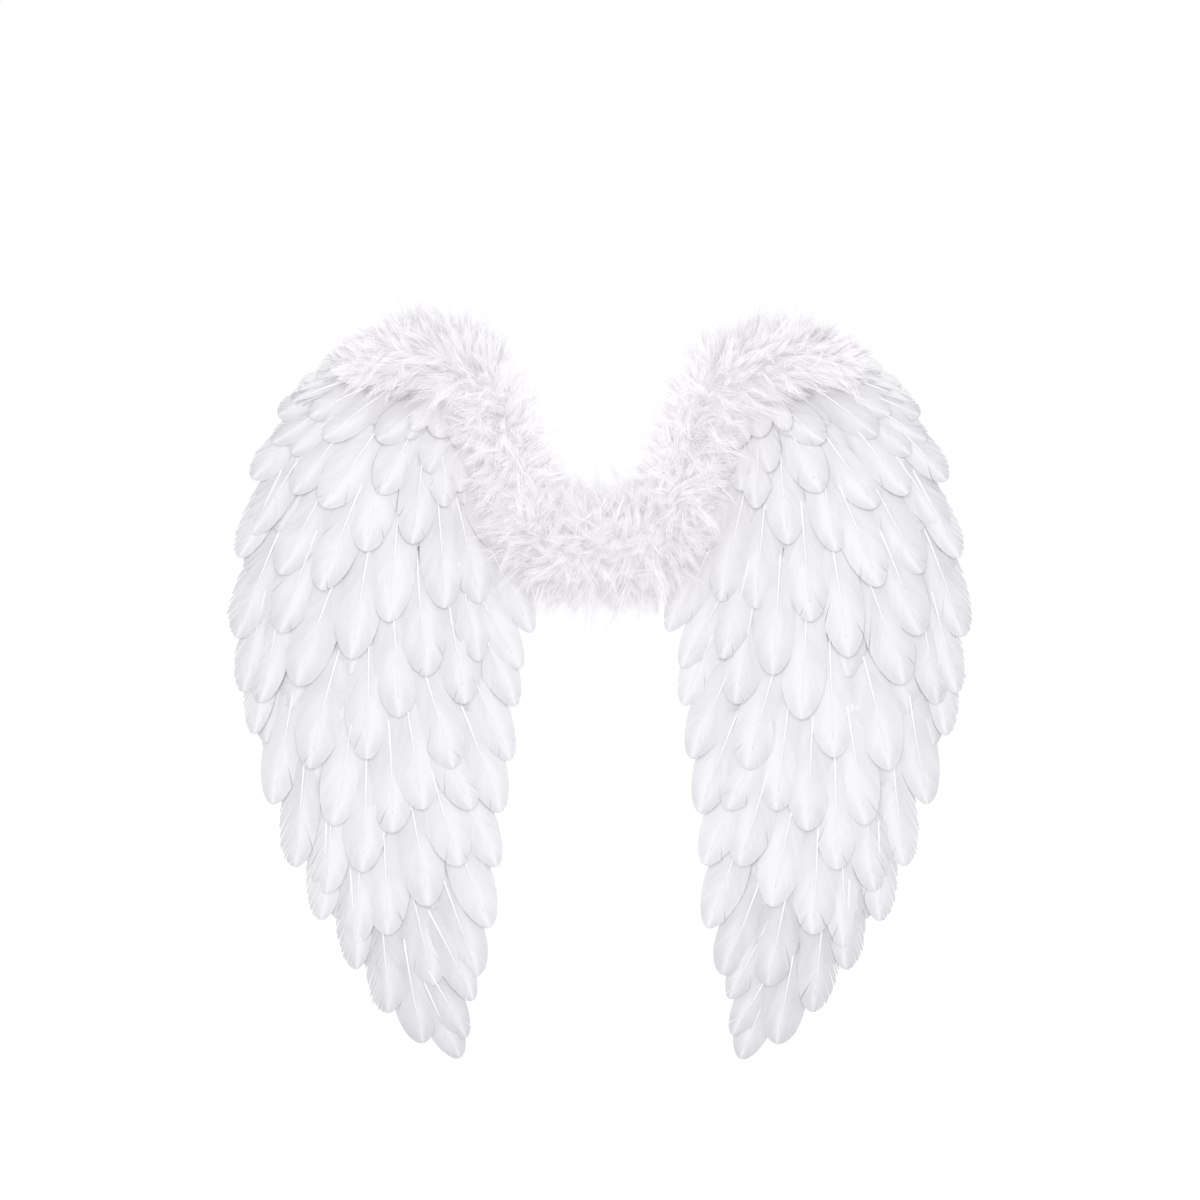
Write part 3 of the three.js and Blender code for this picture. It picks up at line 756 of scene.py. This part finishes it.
def barb_extents(place, toothed, cuts, rng):
    """How long the barbs are, as shares of the way to the feather's outline."""
    barbs = place["barbs"]
    settled = smoothstep(barbs - 1, barbs - 5, np.arange(barbs))
    for cut in cuts:
        settled[cut:cut + 2] = 0
    ragged = TOOTH_RAGGED if toothed else place["ragged"]
    extent = 1 + np.abs(rng.normal(0, ragged, barbs)) * settled
    if place["teeth"]:
        for cut in cuts:
            extent[cut - 1:cut + 1] += rng.uniform(0, 0.05)
            extent[cut + 1:cut + 3] -= TOOTH_NOTCH
    return extent


def drawn_apart(place, cut, toothed, rng):
    """How far barbs draw away from a cut, for each barb and each step along it."""
    first = 3 if toothed else int(rng.integers(2, 4))
    depth = np.clip((VANE_STEPS - VANE_STEPS[first]) / (1 - VANE_STEPS[first]), 0, 1)
    distance = np.arange(place["barbs"]) - cut - 0.5
    pull = np.sign(distance) * np.exp(-(np.abs(distance) - 0.5) / (1.5 if toothed else 5))
    return pull[:, None] * depth


def loosen(place, reach, keep):
    """Parts the barbs of a vane into pairs beyond the share to which they hang together."""
    free = np.flatnonzero(VANE_STEPS[:-1] >= place["loose"] - 1e-6)
    keep[1::2, free] = False
    joined = (reach[0:-1:2, -1] + reach[1::2, -1]) / 2
    reach[0:-1:2, -1] = mix(reach[0:-1:2, -1], joined, 0.8)
    reach[1::2, -1] = mix(reach[1::2, -1], joined, 0.8)


def vane_tone(place, hand, toothed, reach):
    """The tone over a vane: a painted highlight band along it, painted shade at root, edge and tip.
    """
    steps = VANE_STEPS[None, :]
    band = np.exp(-((hand * steps - place["band"]) / BAND_WIDTH) ** 2)
    band = band * smoothstep(0.35, 0.7, reach)
    tone = place["tone"] * TONE_SPREAD + place["grey"] + (hand > 0) * OUTER_VANE_PAINTED_SHADE + PAINTED_HIGHLIGHT_BAND * band
    tone = tone + ROOT_PAINTED_SHADOW * smoothstep(0.85, 0.4, reach) + VANE_EDGE_PAINTED_SHADE * smoothstep(0.4, 1, steps)
    tone = tone + TIP_PAINTED_SHADE * smoothstep(0.72, 0.95, reach) * smoothstep(0.2, 0.8, steps)
    return tone + TOOTH_TONE * toothed


def vane(into, place, hand, rng):
    """One vane of a feather: rows of barbs that run from the shaft towards tip and edge."""
    steps = VANE_STEPS[None, :]
    barbs = place["barbs"]
    toothed = place["teeth"] and hand > 0
    cuts = barb_cuts(place, toothed, rng)
    start = barb_starts(barbs, cuts)
    end = barb_ends(start, place)
    width = place["half"] * vane_width(end, place["blunt"])
    extent = barb_extents(place, toothed, cuts, rng)
    reach = start[:, None] + ((end - start) * extent)[:, None] * steps ** 1.25
    aside = hand * (width * extent)[:, None] * steps
    wave = np.convolve(rng.normal(0, 1, barbs + 16), np.hanning(17), "valid")
    for cut in cuts:
        wave[cut + 1] = wave[cut]
    bulge = BULGE * np.sin(np.pi * steps ** 0.8) * smoothstep(1, 0.8, reach)
    rise = crown(place, reach, aside) + bulge
    rise = rise + RIPPLE * wave[:, None] * steps * smoothstep(1, 0.85, reach)
    keep = np.ones((barbs - 1, len(VANE_STEPS) - 1), bool)
    if place["loose"] < 1:
        loosen(place, reach, keep)
    for cut in cuts:
        apart = drawn_apart(place, cut, toothed, rng)
        reach = reach + rng.uniform(0.002, 0.006) * apart
        rise = rise + SPLIT_RISE * apart
        keep[cut] = False
    points = on_feather(place, reach, aside, rise)
    millimetres = place["seed"] * 7.3 + start[:, None] * place["length"] * 1000
    uvs = paired(millimetres, steps + (hand > 0) * 40)
    into.grid(points, uvs, vane_tone(place, hand, toothed, reach), 0, keep, turned=hand < 0)


def shaft(into, place):
    """The raised shaft of a feather, a thin tapered tube half sunk between the vanes."""
    reach = np.linspace(0, SHAFT_END, SHAFT_RINGS)[:, None]
    radius = SHAFT_RADII[0] + SHAFT_RADII[1] * (1 - reach) ** 0.85
    angle = np.arange(SHAFT_SIDES)[None, :] * 2 * np.pi / SHAFT_SIDES
    aside = radius * np.cos(angle)
    rise = crown(place, reach, 0) + radius * (0.35 + 0.8 * np.sin(angle))
    points = on_feather(place, reach, aside, rise)
    along = reach * place["length"] * 1000 + place["seed"]
    uvs = paired(along, angle / np.pi)
    into.rings(points, uvs, smoothstep(0.3, 0.9, reach) + 0 * angle, 1)


def tape(into, places):
    """The tape that the quills of a row are sewn to."""
    roots = sorted((p["out"] - p["length"] * math.sin(p["lean"]),
                    p["level"] + p["length"] * math.cos(p["lean"]), p["lean"]) for p in places)
    half = TAPE_WIDTH / 2
    number = np.arange(len(roots))
    fine = np.linspace(0, len(roots) - 1, len(roots) * 4)[:, None]
    out, level, lean = [np.interp(fine, number, [root[k] for root in roots]) for k in range(3)]
    side = np.array([-half, half, half, -half])
    lift = FEATHER_SEAT + np.array([0, 0, TAPE_WALL, TAPE_WALL])
    points = wing_point(out + side * np.sin(lean), level - side * np.cos(lean), lift)
    uvs = paired(fine * QUILL_MILLIMETRES, side * 1000)
    into.rings(points, uvs, 0.5, 2)


def add_feather(into, place, rng):
    vane(into, place, 1, rng)
    vane(into, place, -1, rng)
    if place["barbs"] == BARBS:
        shaft(into, place)


def feather_rows(side, seed):
    """The rows of a wing on their tapes, with more feathers under the gaps between them."""
    rng = np.random.default_rng(seed)
    rows = [[tip_place(tip, rng) for tip in tips] for tips in FEATHER_ROWS]
    for k, row in enumerate(rows):
        row[0].update(OUTERMOST)
        if k:
            row[-1].update(INNERMOST)
        under = [place_between(*pair, rng) for pair in zip(row, row[1:])]
        if k:
            under += [place_between(rows[k - 1][end], row[end], rng) for end in (0, -1)]
        made = Collector()
        tape(made, row)
        for place in row + under:
            add_feather(made, place, rng)
        name = f"{side}_feathers_{k + 1:02d}"
        made.build(name, [VANE, SHAFT, ELASTIC])


def coverts(name, seed):
    """Small feathers that come out from under the crest's fluff, half downy at its outer end."""
    rng = np.random.default_rng(seed)
    made = Collector()
    for tip in COVERTS:
        place = tip_place(tip, rng)
        place.update(SMALL_FEATHER)
        place.update(DOWNY_FEATHER if place["out"] > DOWNY_FROM else CORNER_FEATHER)
        add_feather(made, place, rng)
    made.build(name, [VANE, SHAFT])


# Fluff

# Where the five points of a strand lie along it, and its width at them.
STRAND_SHARES = np.array([0, 0.25, 0.5, 0.76, 1.0])
STRAND_TAPER = np.array([0.8, 1.0, 0.85, 0.55, 0])
STRAND_WIDTH = 0.0004
STRAND_POINTS = 9
# How wide a pointed and a soft lock of strands are along their length, as shares of their width.
POINTED_LOCK = np.array([0.8, 1.0, 0.95, 0.6, 0.2])
SOFT_LOCK = np.array([0.8, 1.0, 1.1, 1.1, 0.9])
LOCK_BEND = 0.22
LOCK_STRAY = 0.12
LOCK_SAG = np.array([0, 0, -0.05])
STRAND_STRAY = 0.04
WISP_LENGTH = 1.5
# How much of its depth the soft roll under the strands fills.
INNER_ROLL = 0.84
# Fluff that would stand further forward than this is pressed back by this share.
FLUFF_FRONT = -0.06
FLUFF_PRESS = 0.68

# How the rolls of the yoke, the collar and the crest are made. Lengths and widths are in metres.
ROLLS = ("yoke", "collar", "crest")
ROLL_STYLES = {
    # Tufts along and around the roll, and how they crowd towards its free side.
    "tufts": ((32, 12), (24, 9), (25, 9)),
    "crowd": (1.0, 0.9, 1.25),
    # How far round to the feather side tufts stand, and how deep in the roll their feet are.
    "wing_edge": (0.98, 0.88, 0.86),
    "sunk": (0.88, 0.88, 0.84),
    # A tuft's length and its range, then its shares at the crest's outer end, at the free side
    # there, and at the feather side at the roll's start and end.
    "length": (0.024, 0.027, 0.031),
    "uneven": ((0.6, 1.3), (0.75, 1.15), (0.75, 1.15)),
    "end_length": (1.0, 1.0, 1.2),
    "free_length": (1, 1, 0.6),
    "wing_length": ((0.9, 0.9), (1.1, 1.9), (1.8, 0.55)),
    # How tufts stand up, more so on the free side, and lean forward over the feathers.
    "stand": (0.36, 0.34, 0.3),
    "free_stand": (1.0, 1.2, 2.6),
    "over": (0.0, 1.1, 0.7),
    # How they lean along the roll at its start and end, to both sides, by chance and one way.
    "flow": ((0.15, 0.15), (0.35, 0.35), (0.45, 1.7)),
    "part": (0.8, 0.95, 0.75),
    "sway": (0.5, 0.4, 0.22),
    "comb": ((0, 0, 0.06), (0, 0, 0), (0, 0, 0.25)),
    # Locks in a tuft and strands in a lock, how they fan out, and how far apart their feet are.
    "locks": ((5, 12), (5, 12), (5, 12)),
    "fan": (0.4, 0.4, 0.24),
    "foot": (0.005, 0.005, 0.0045),
    # The share of longer locks, a lock's width on the free and feather side, 0 pointed to 1 soft.
    "wisps": (0.3, 0.1, 0),
    "lock_width": ((0.0026, 0.0026), (0.0022, 0.0031), (0.0014, 0.0029)),
    "soft": (0.7, 0.6, 0.5),
    # How wide strands are on the free side, their tones, and the painted shade that either side
    # adds to them, painted light where it is below zero.
    "free_width": (1.2, 1.3, 1.7),
    "tones": ((0, 0.85), (-0.3, 0.35), (-0.05, 0.75)),
    "edge_painted_shades": ((0.6, 0.95), (0.3, -0.3), (1.3, -0.2)),
}


def side_of(values):
    return np.where(values < 0, -1, 1)


def fluff_point(at, turn, seat, depth_share=1.0):
    """Points on the roll of fluff: turn 0 is its free side, half a turn its feather side."""
    where = np.abs(at)
    share = (1 - np.cos(turn * np.pi * 2)) / 2
    out = WING_REACH * mix(FLUFF["neck_out"](where), FLUFF["wing_out"](where), share)
    level = WING_RISE * mix(FLUFF["neck_level"](where), FLUFF["wing_level"](where), share)
    bulge = np.maximum(np.sin(turn * np.pi * 2), 0) ** 0.8
    points = wing_point(out, level, seat)
    points[..., 1] -= FLUFF_DEPTH * FLUFF["depth"](where) * bulge * depth_share
    points[..., 0] *= side_of(at)
    return points


def tufts_on_roll(start, end, seat, style, rng):
    """A row for each tuft: its foot, which way is away from the roll, its aim, its length, and
    its side, from 1 on the free side to -1 on the feather side.
    """
    along, around = style["tufts"]
    cells = np.stack(np.meshgrid(np.arange(along), np.arange(around), indexing="ij"), -1)
    cells = (cells.reshape(-1, 2) + rng.uniform(0, 1, (along * around, 2))) / (along, around)
    at = mix(start, end, cells[:, 0])
    turn = 0.5 * mix(0.02, style["wing_edge"], cells[:, 1] ** style["crowd"])
    foot = fluff_point(at, turn, seat, style["sunk"])
    middle = (fluff_point(at, turn * 0, seat) + fluff_point(at, turn * 0 + 0.5, seat)) / 2
    away = unit(foot - middle)
    ahead = unit(fluff_point(at + 0.1, turn, seat) - fluff_point(at - 0.1, turn, seat))
    ahead = ahead * side_of(at)[:, None]
    around_it = unit(fluff_point(at, turn + 0.01, seat) - fluff_point(at, turn - 0.01, seat))
    front = np.sin(turn * 2 * np.pi)[:, None] ** 2
    side = np.cos(turn * 2 * np.pi)[:, None]
    wing_share = (1 - side) / 2
    sway = rng.normal(0, 1, (len(at), 2))
    sway = (sway[:, :1] * ahead + sway[:, 1:] * around_it) * style["sway"] * mix(0.35, 1, front)
    stand = style["stand"] * mix(style["free_stand"], 0.7, wing_share)
    flow = mix(*style["flow"], cells[:, 0])[:, None]
    over = wing_share ** 2 * np.array((0, -style["over"], 0))
    aim = unit(away * stand + ahead * flow - around_it * side * style["part"]
               + sway + np.array(style["comb"]) + over)
    length = style["length"] * rng.uniform(*style["uneven"], len(at))
    free_length = mix(1, style["free_length"], smoothstep(0.5, 1, cells[:, 0]))
    wing_length = mix(*style["wing_length"], cells[:, 0])
    length = length * mix(free_length, wing_length, wing_share[:, 0])
    return foot, away, aim, length * mix(1, style["end_length"], np.abs(at) / CREST_END), side


def strand_paths(foot, away, aim, length, side, style, rng):
    """The five points of each strand: a tuft's locks spread from its foot, bend and taper."""
    tufts = len(foot)
    locks, strands = style["locks"]
    count = locks * strands
    across = unit(np.cross(aim, away))[:, None, :]
    over = np.cross(across, aim[:, None, :])

    def scattered(number):
        """Places in a round spot across the tuft, as offsets from its middle."""
        spot = rng.normal(0, 1, (tufts, number, 2))
        spot /= np.maximum(np.linalg.norm(spot, axis=-1, keepdims=True), 1)
        return spot[..., :1] * across + spot[..., 1:] * over

    def each(values):
        """A lock's values, repeated for each of its strands."""
        return np.repeat(values, strands, axis=1)

    offset = scattered(locks)
    stray = rng.normal(0, LOCK_STRAY, offset.shape)
    lock_way = unit(aim[:, None, :] + offset * style["fan"] + stray)
    lock_bend = np.cross(aim, rng.normal(0, 1, (tufts, 3)))[:, None, :] * LOCK_BEND
    lock_bend = lock_bend + rng.normal(0, LOCK_STRAY, offset.shape) + LOCK_SAG
    lock_length = length[:, None] * rng.uniform(0.6, 1.0, (tufts, locks))
    wisps = rng.uniform(0, 1, (tufts, locks)) < style["wisps"]
    lock_length = lock_length * np.where(wisps, WISP_LENGTH, 1)
    lock_width = mix(*style["lock_width"], (1 - side) / 2)
    in_lock = scattered(count) * lock_width[:, None]
    strand_stray = rng.normal(0, 1, (tufts, count, 3)) * STRAND_STRAY
    strand_length = each(lock_length) * rng.uniform(0.6, 1.0, (tufts, count)) ** 0.7
    strand_length = strand_length[:, :, None, None]

    share = STRAND_SHARES[:, None]
    path = foot[:, None, None, :] + each(offset * style["foot"])[:, :, None, :]
    path = path + each(lock_way)[:, :, None, :] * share * strand_length
    bend = each(lock_bend) + strand_stray
    path = path + bend[:, :, None, :] * share ** 2 * strand_length
    edge = (np.abs(side) ** 2)[:, :, None, None]
    body = mix(POINTED_LOCK, SOFT_LOCK, style["soft"])[:, None]
    path = path + in_lock[:, :, None, :] * mix(body, POINTED_LOCK[:, None], edge)
    too_far = np.minimum(path[..., 1] - FLUFF_FRONT, 0)
    path[..., 1] -= too_far * FLUFF_PRESS
    return path


def add_strands(into, path, away, side, style, rng):
    """Thin tapered ribbons along the strands' paths, a tone for each lock and strand, painted
    shade.
    """
    tufts, count = path.shape[:2]
    locks, strands = style["locks"]
    facing = away[:, None, None, :] + rng.normal(0, 0.35, (tufts, count, 1, 3))
    wide = unit(np.cross(unit(np.gradient(path, axis=2)), facing))
    half = STRAND_WIDTH / 2 * STRAND_TAPER[:, None]
    half = half * rng.uniform(0.7, 1.3, (tufts, count, 1, 1))
    half = half * mix(style["free_width"], 1, (1 - side) / 2)[:, None, None]
    left = (path - wide * half)[:, :, :4]
    right = (path + wide * half)[:, :, :4]
    pairs = np.stack([left, right], axis=3).reshape(tufts * count, 8, 3)
    points = np.concatenate([pairs, path.reshape(-1, 5, 3)[:, 4:]], axis=1)
    first = np.arange(len(points))[:, None, None] * STRAND_POINTS
    quads = np.array([[0, 1, 3, 2], [2, 3, 5, 4], [4, 5, 7, 6]]) + first
    triangles = np.array([[6, 7, 8]]) + first
    height = np.append(np.repeat(STRAND_SHARES[:4], 2), 1)
    uvs = paired(np.arange(len(points))[:, None] % 97, height)
    tone = np.repeat(rng.uniform(*style["tones"], (tufts, locks)), strands, axis=1)
    # Painted shade: tufts that face downwards get greyer.
    tone = tone + rng.uniform(0, 0.25, (tufts, count)) + 0.5 * np.maximum(-away[:, 2:], 0)
    # Painted shade on the roll's edges, and painted light on the feather side where it is below
    # zero.
    free_painted_shade, wing_painted_shade = style["edge_painted_shades"]
    tone = tone + np.where(side > 0, free_painted_shade, wing_painted_shade) * side ** 2
    tone = np.broadcast_to(tone[..., None], (tufts, count, STRAND_POINTS))
    into.add(points, uvs, tone, quads, triangles)


def fluff(name, roll, start, end, seat, seed):
    """A roll of down: tufts of fine tapered barbs over a soft inner roll."""
    style = {key: values[ROLLS.index(roll)] for key, values in ROLL_STYLES.items()}
    rng = np.random.default_rng(seed)
    made = Collector()
    foot, away, aim, length, side = tufts_on_roll(start, end, seat, style, rng)
    path = strand_paths(foot, away, aim, length, side, style, rng)
    add_strands(made, path, away, side, style, rng)
    inner_at = np.linspace(start, end, 40)[:, None]
    inner_turn = np.linspace(0, 0.5, 14)[None, :]
    inner = fluff_point(inner_at + 0 * inner_turn, inner_turn + 0 * inner_at, seat, INNER_ROLL)
    made.rings(inner, paired(inner_at, inner_turn))
    made.build(name, [DOWN])


# Boards, yoke and straps

# The rounded edge of a board, without the places where it meets the faces.
RIM_ANGLES = np.linspace(0, np.pi, 6)[1:-1]
# A hem runs only where the board is wider than this. Its ribbon's edges: how far inside the
# board's edge they lie, and how far they stand in front of its rear face.
HEM_ROOM = 0.03
HEM_RIBBON = [(0.0012, 0.0001), (0.0016, -0.0005), (0.0078, -0.0005), (0.0082, 0.0001)]
HEM_SEAM = (0.0055, -0.0006)
STITCH = 0.0028
STITCH_STEP = 0.0042
STITCH_RISE = (0, 0.0004, 0)
STITCH_SIDES = 5
STITCH_ARCH = np.array([-0.2, 0.5, 0.75, 0.5, -0.2])
STITCH_TAPER = np.array([0.5, 1, 1, 1, 0.5])
THREAD_RADIUS = 0.0003
# The crossed box of stitches at each end of a shoulder loop: from where to where, and half as wide.
BOX_SPAN = (0.003, 0.019)
BOX_HALF = 0.0075


def front_points(flat, lift):
    """Points over places of the front view on either side of the middle."""
    points = wing_point(np.abs(flat[..., 0]), flat[..., 1], lift)
    points[..., 0] *= side_of(flat[..., 0])
    return points


def stitches(into, line):
    """Thread stitches along a line of points, arched away from what they are sewn to."""
    travelled = lengths_along(line)
    angle = np.arange(STITCH_SIDES) * 2 * np.pi / STITCH_SIDES
    for k in range(int(travelled[-1] / STITCH_STEP)):
        spots = (k * STITCH_STEP + np.linspace(0, STITCH, 5))[:, None]
        path = np.concatenate([np.interp(spots, travelled, line[:, axis]) for axis in range(3)], 1)
        path = path + np.array(STITCH_RISE) * STITCH_ARCH[:, None]
        ahead = unit(path[-1] - path[0])
        wide = unit(np.cross(ahead, STITCH_RISE))
        thick = unit(np.cross(wide, ahead))
        ring = wide * np.cos(angle)[:, None] + thick * np.sin(angle)[:, None]
        points = path[:, None, :] + THREAD_RADIUS * STITCH_TAPER[:, None, None] * ring[None]
        into.rings(points, points[..., [0, 2]] * 1000, 0.5, 1)


def border(out, level, inset):
    """The closed line that runs inset inside the edge of a grid of places."""
    loop_out = np.concatenate([out[0], out[1:, -1], out[-1, -2::-1], out[-2:0:-1, 0]])
    loop_level = np.concatenate([level[0], level[1:, -1], level[-1, -2::-1], level[-2:0:-1, 0]])
    loop = np.stack([loop_out, loop_level], axis=-1)
    ahead = unit(np.roll(loop, -1, axis=0) - np.roll(loop, 1, axis=0))
    inwards = np.stack([-ahead[:, 1], ahead[:, 0]], axis=-1)
    area = np.sum(loop[:, 0] * np.roll(loop[:, 1], -1) - loop[:, 1] * np.roll(loop[:, 0], -1))
    inner = loop + inwards * inset * np.sign(area)
    return np.concatenate([inner, inner[:1]])


def hem(into, out, level, rear):
    """A folded hem behind a board's edge, with a row of stitches along it."""
    edges = [front_points(border(out, level, inset), rear + stand) for inset, stand in HEM_RIBBON]
    points = np.stack(edges, axis=1)
    into.grid(points, points[..., [0, 2]], turned=True)
    inset, stand = HEM_SEAM
    stitches(into, front_points(border(out, level, inset), rear + stand))


def wing_panel(name):
    """The domed board of a wing, its two long edges rounded."""
    made = Collector()
    height = np.linspace(PANEL_SECTIONS[0][0], PANEL_SECTIONS[-1][0], 64)[:, None]
    share = np.linspace(0, 1, 22)[None, :]
    out = WING_REACH * mix(PANEL["inner"](height), PANEL["outer"](height), share)
    level = WING_RISE * height + 0 * share
    half = PANEL_WALL / 2

    def line(column, lift, push=0):
        return wing_point(out[:, [column]] + push, level[:, [column]], lift)

    columns = range(out.shape[1])
    parts = [line(k, PANEL_WALL) for k in columns]
    parts += [line(-1, half + half * math.cos(a), half * math.sin(a)) for a in RIM_ANGLES]
    parts += [line(k, 0) for k in reversed(columns)]
    parts += [line(0, half - half * math.cos(a), -half * math.sin(a)) for a in RIM_ANGLES]
    points = np.concatenate(parts, axis=1)
    made.rings(points, points[..., [0, 2]])
    room = out[:, -1] - out[:, 0] > HEM_ROOM
    hem(made, out[room], level[room], 0)
    made.build(name, [FELT, THREAD])


def yoke_panel(name):
    """The yoke from one end to the other, its neck edge and its lower edge rounded."""
    made = Collector()
    last = len(YOKE_SECTIONS) - 1
    at = np.linspace(-last, last, 97)[:, None]
    share = np.linspace(0, 1, 16)[None, :]
    where = np.abs(at)
    out = WING_REACH * mix(YOKE["neck_out"](where), YOKE["out"](where), share) * np.sign(at)
    level = WING_RISE * mix(YOKE["neck_level"](where), YOKE["level"](where), share)
    low, high = -SEAT_GAP - YOKE_WALL, -SEAT_GAP
    flat = np.stack([out, level], axis=-1)
    middle, half = (low + high) / 2, (high - low) / 2
    rims = []
    for column, neighbour in ((-1, -2), (0, 1)):
        away = unit(flat[:, column] - flat[:, neighbour])
        for angle in RIM_ANGLES:
            edge = flat[:, column] + away * half * math.sin(angle)
            rise = middle + half * math.cos(angle) * (1 if column else -1)
            rims.append(front_points(edge, rise)[:, None])
    parts = [front_points(flat, high), *rims[:4], front_points(flat, low)[:, ::-1], *rims[4:]]
    points = np.concatenate(parts, axis=1)
    made.rings(points, points[..., [0, 2]])
    hem(made, out, level, low)
    made.build(name, [FELT, THREAD])


def crossed_box(into, middle, wide, from_end):
    """The box of stitches with a cross in it that sews one end of a band down."""
    near, far = [np.argmin(np.abs(from_end - spot)) for spot in BOX_SPAN]
    a, b, d, c = [middle[row] + wide[row] * side
                  for row in (near, far) for side in (-BOX_HALF, BOX_HALF)]
    for line in ((a, b), (b, c), (c, d), (d, a), (a, c), (b, d)):
        stitches(into, np.linspace(*line, 12) + np.array([0, STRAP_WALL / 2, 0]))


def shoulder_strap(name):
    """An elastic band round the shoulder, its two ends sewn flat to the yoke panel."""
    made = Collector()
    rest = -SEAT_GAP - YOKE_WALL - SEAT_GAP - BOW_ROOM - STRAP_WALL / 2
    fine = np.linspace(0, len(LOOP_POINTS) - 1, 150)

    def band(aside):
        points = wing_point(LOOP["out"](fine) * WING_REACH + aside,
                            LOOP["level"](fine) * WING_RISE, rest)
        points[..., 1] += LOOP["back"](fine) * LOOP_DEPTH
        return points

    middle = band(0)
    ahead = unit(np.gradient(middle, axis=0))
    across = band(STRAP_WIDTH / 2) - band(-STRAP_WIDTH / 2)
    across -= ahead * np.sum(across * ahead, axis=1, keepdims=True)
    wide = unit(across)
    thick = np.cross(ahead, wide)
    angle = np.linspace(0, 2 * np.pi, 25)[:-1]
    aside = np.sign(np.cos(angle)) * np.abs(np.cos(angle)) ** 0.18 * STRAP_WIDTH / 2
    stand = np.sign(np.sin(angle)) * np.abs(np.sin(angle)) ** 0.6 * STRAP_WALL / 2
    points = (middle[:, None, :] + wide[:, None, :] * aside[None, :, None]
              + thick[:, None, :] * stand[None, :, None])
    travelled = lengths_along(middle)
    made.rings(points, paired(travelled[:, None] * 1000, aside[None, :] * 1000))
    crossed_box(made, middle, wide, travelled)
    crossed_box(made, middle, wide, travelled[-1] - travelled)
    made.build(name, [ELASTIC, THREAD])


# The camera, the light and the floor

VIEW_DISTANCE = 2.6
FEATHER_PLANE = -0.03
SENSOR_WIDTH = 36
KEY_PLACE = Vector((0, -1.5, 1.1))
KEY_TARGET = Vector((0, 0, -0.1))
KEY_SIZE = 0.8
KEY_POWER = 4
FLOOR_LEVEL = -0.75
FLOOR_SIZE = 40
FLOOR_GLOW = 0.08
FLOOR_LIGHT = (0.97, 0.97, 0.97, 1)
FLOOR_SHADE = (0.94, 0.94, 0.94, 1)
WHITE = (1, 1, 1, 1)


def make_camera():
    data = bpy.data.cameras.new("camera")
    data.sensor_width = SENSOR_WIDTH
    field = PHOTO_PIXELS * METRES_PER_PIXEL
    data.lens = SENSOR_WIDTH * (VIEW_DISTANCE + FEATHER_PLANE) / field
    camera = bpy.data.objects.new("camera", data)
    middle = (ORIGIN_LINE - PHOTO_PIXELS / 2) * METRES_PER_PIXEL
    camera.location = (0, -VIEW_DISTANCE, middle)
    camera.rotation_euler = (math.pi / 2, 0, 0)
    bpy.context.scene.collection.objects.link(camera)
    bpy.context.scene.camera = camera


def make_key_light():
    data = bpy.data.lights.new("key", "AREA")
    data.shape = "SQUARE"
    data.size = KEY_SIZE
    data.energy = KEY_POWER
    light = bpy.data.objects.new("key", data)
    light.location = KEY_PLACE
    light.rotation_euler = (KEY_TARGET - KEY_PLACE).to_track_quat("-Z", "Y").to_euler()
    bpy.context.scene.collection.objects.link(light)


def make_studio():
    world = bpy.data.worlds.new("studio")
    world.use_nodes = True
    background = world.node_tree.nodes["Background"]
    background.inputs["Color"].default_value = WHITE
    background.inputs["Strength"].default_value = 1.0
    bpy.context.scene.world = world
    bpy.context.scene.view_settings.view_transform = "Standard"
    make_key_light()
    bpy.ops.mesh.primitive_plane_add(size=FLOOR_SIZE, location=(0, 0, FLOOR_LEVEL))
    floor = bpy.context.object
    floor.name = "floor"
    made = new_material("pale_floor", 0.8, Emission_Color=WHITE, Emission_Strength=FLOOR_GLOW)
    share = noise(made, object_place(made), 3.0, 3.0)
    coloured(made, FLOOR_LIGHT, FLOOR_SHADE, share)
    floor.data.materials.append(made)


# Where the random draws of each kind of piece start. The left wing's start one further on.
YOKE_SEED = 11
COLLAR_SEED = 21
CREST_SEED = 25
COVERTS_SEED = 31
FEATHERS_SEED = 41

make_camera()
make_studio()
yoke_panel("yoke_panel")
fluff("yoke_fluff", "yoke", -YOKE_END, YOKE_END, BOW_ROOM, YOKE_SEED)
for other, side in enumerate(("right", "left")):
    wing_panel(side + "_wing_panel")
    feather_rows(side, FEATHERS_SEED + other)
    coverts(side + "_crest_coverts", COVERTS_SEED + other)
    fluff(side + "_collar_fluff", "collar", YOKE_END, COLLAR_END, COLLAR_SEAT, COLLAR_SEED + other)
    fluff(side + "_crest_fluff", "crest", COLLAR_END, CREST_END, CREST_SEAT, CREST_SEED + other)
    shoulder_strap(side + "_shoulder_strap")
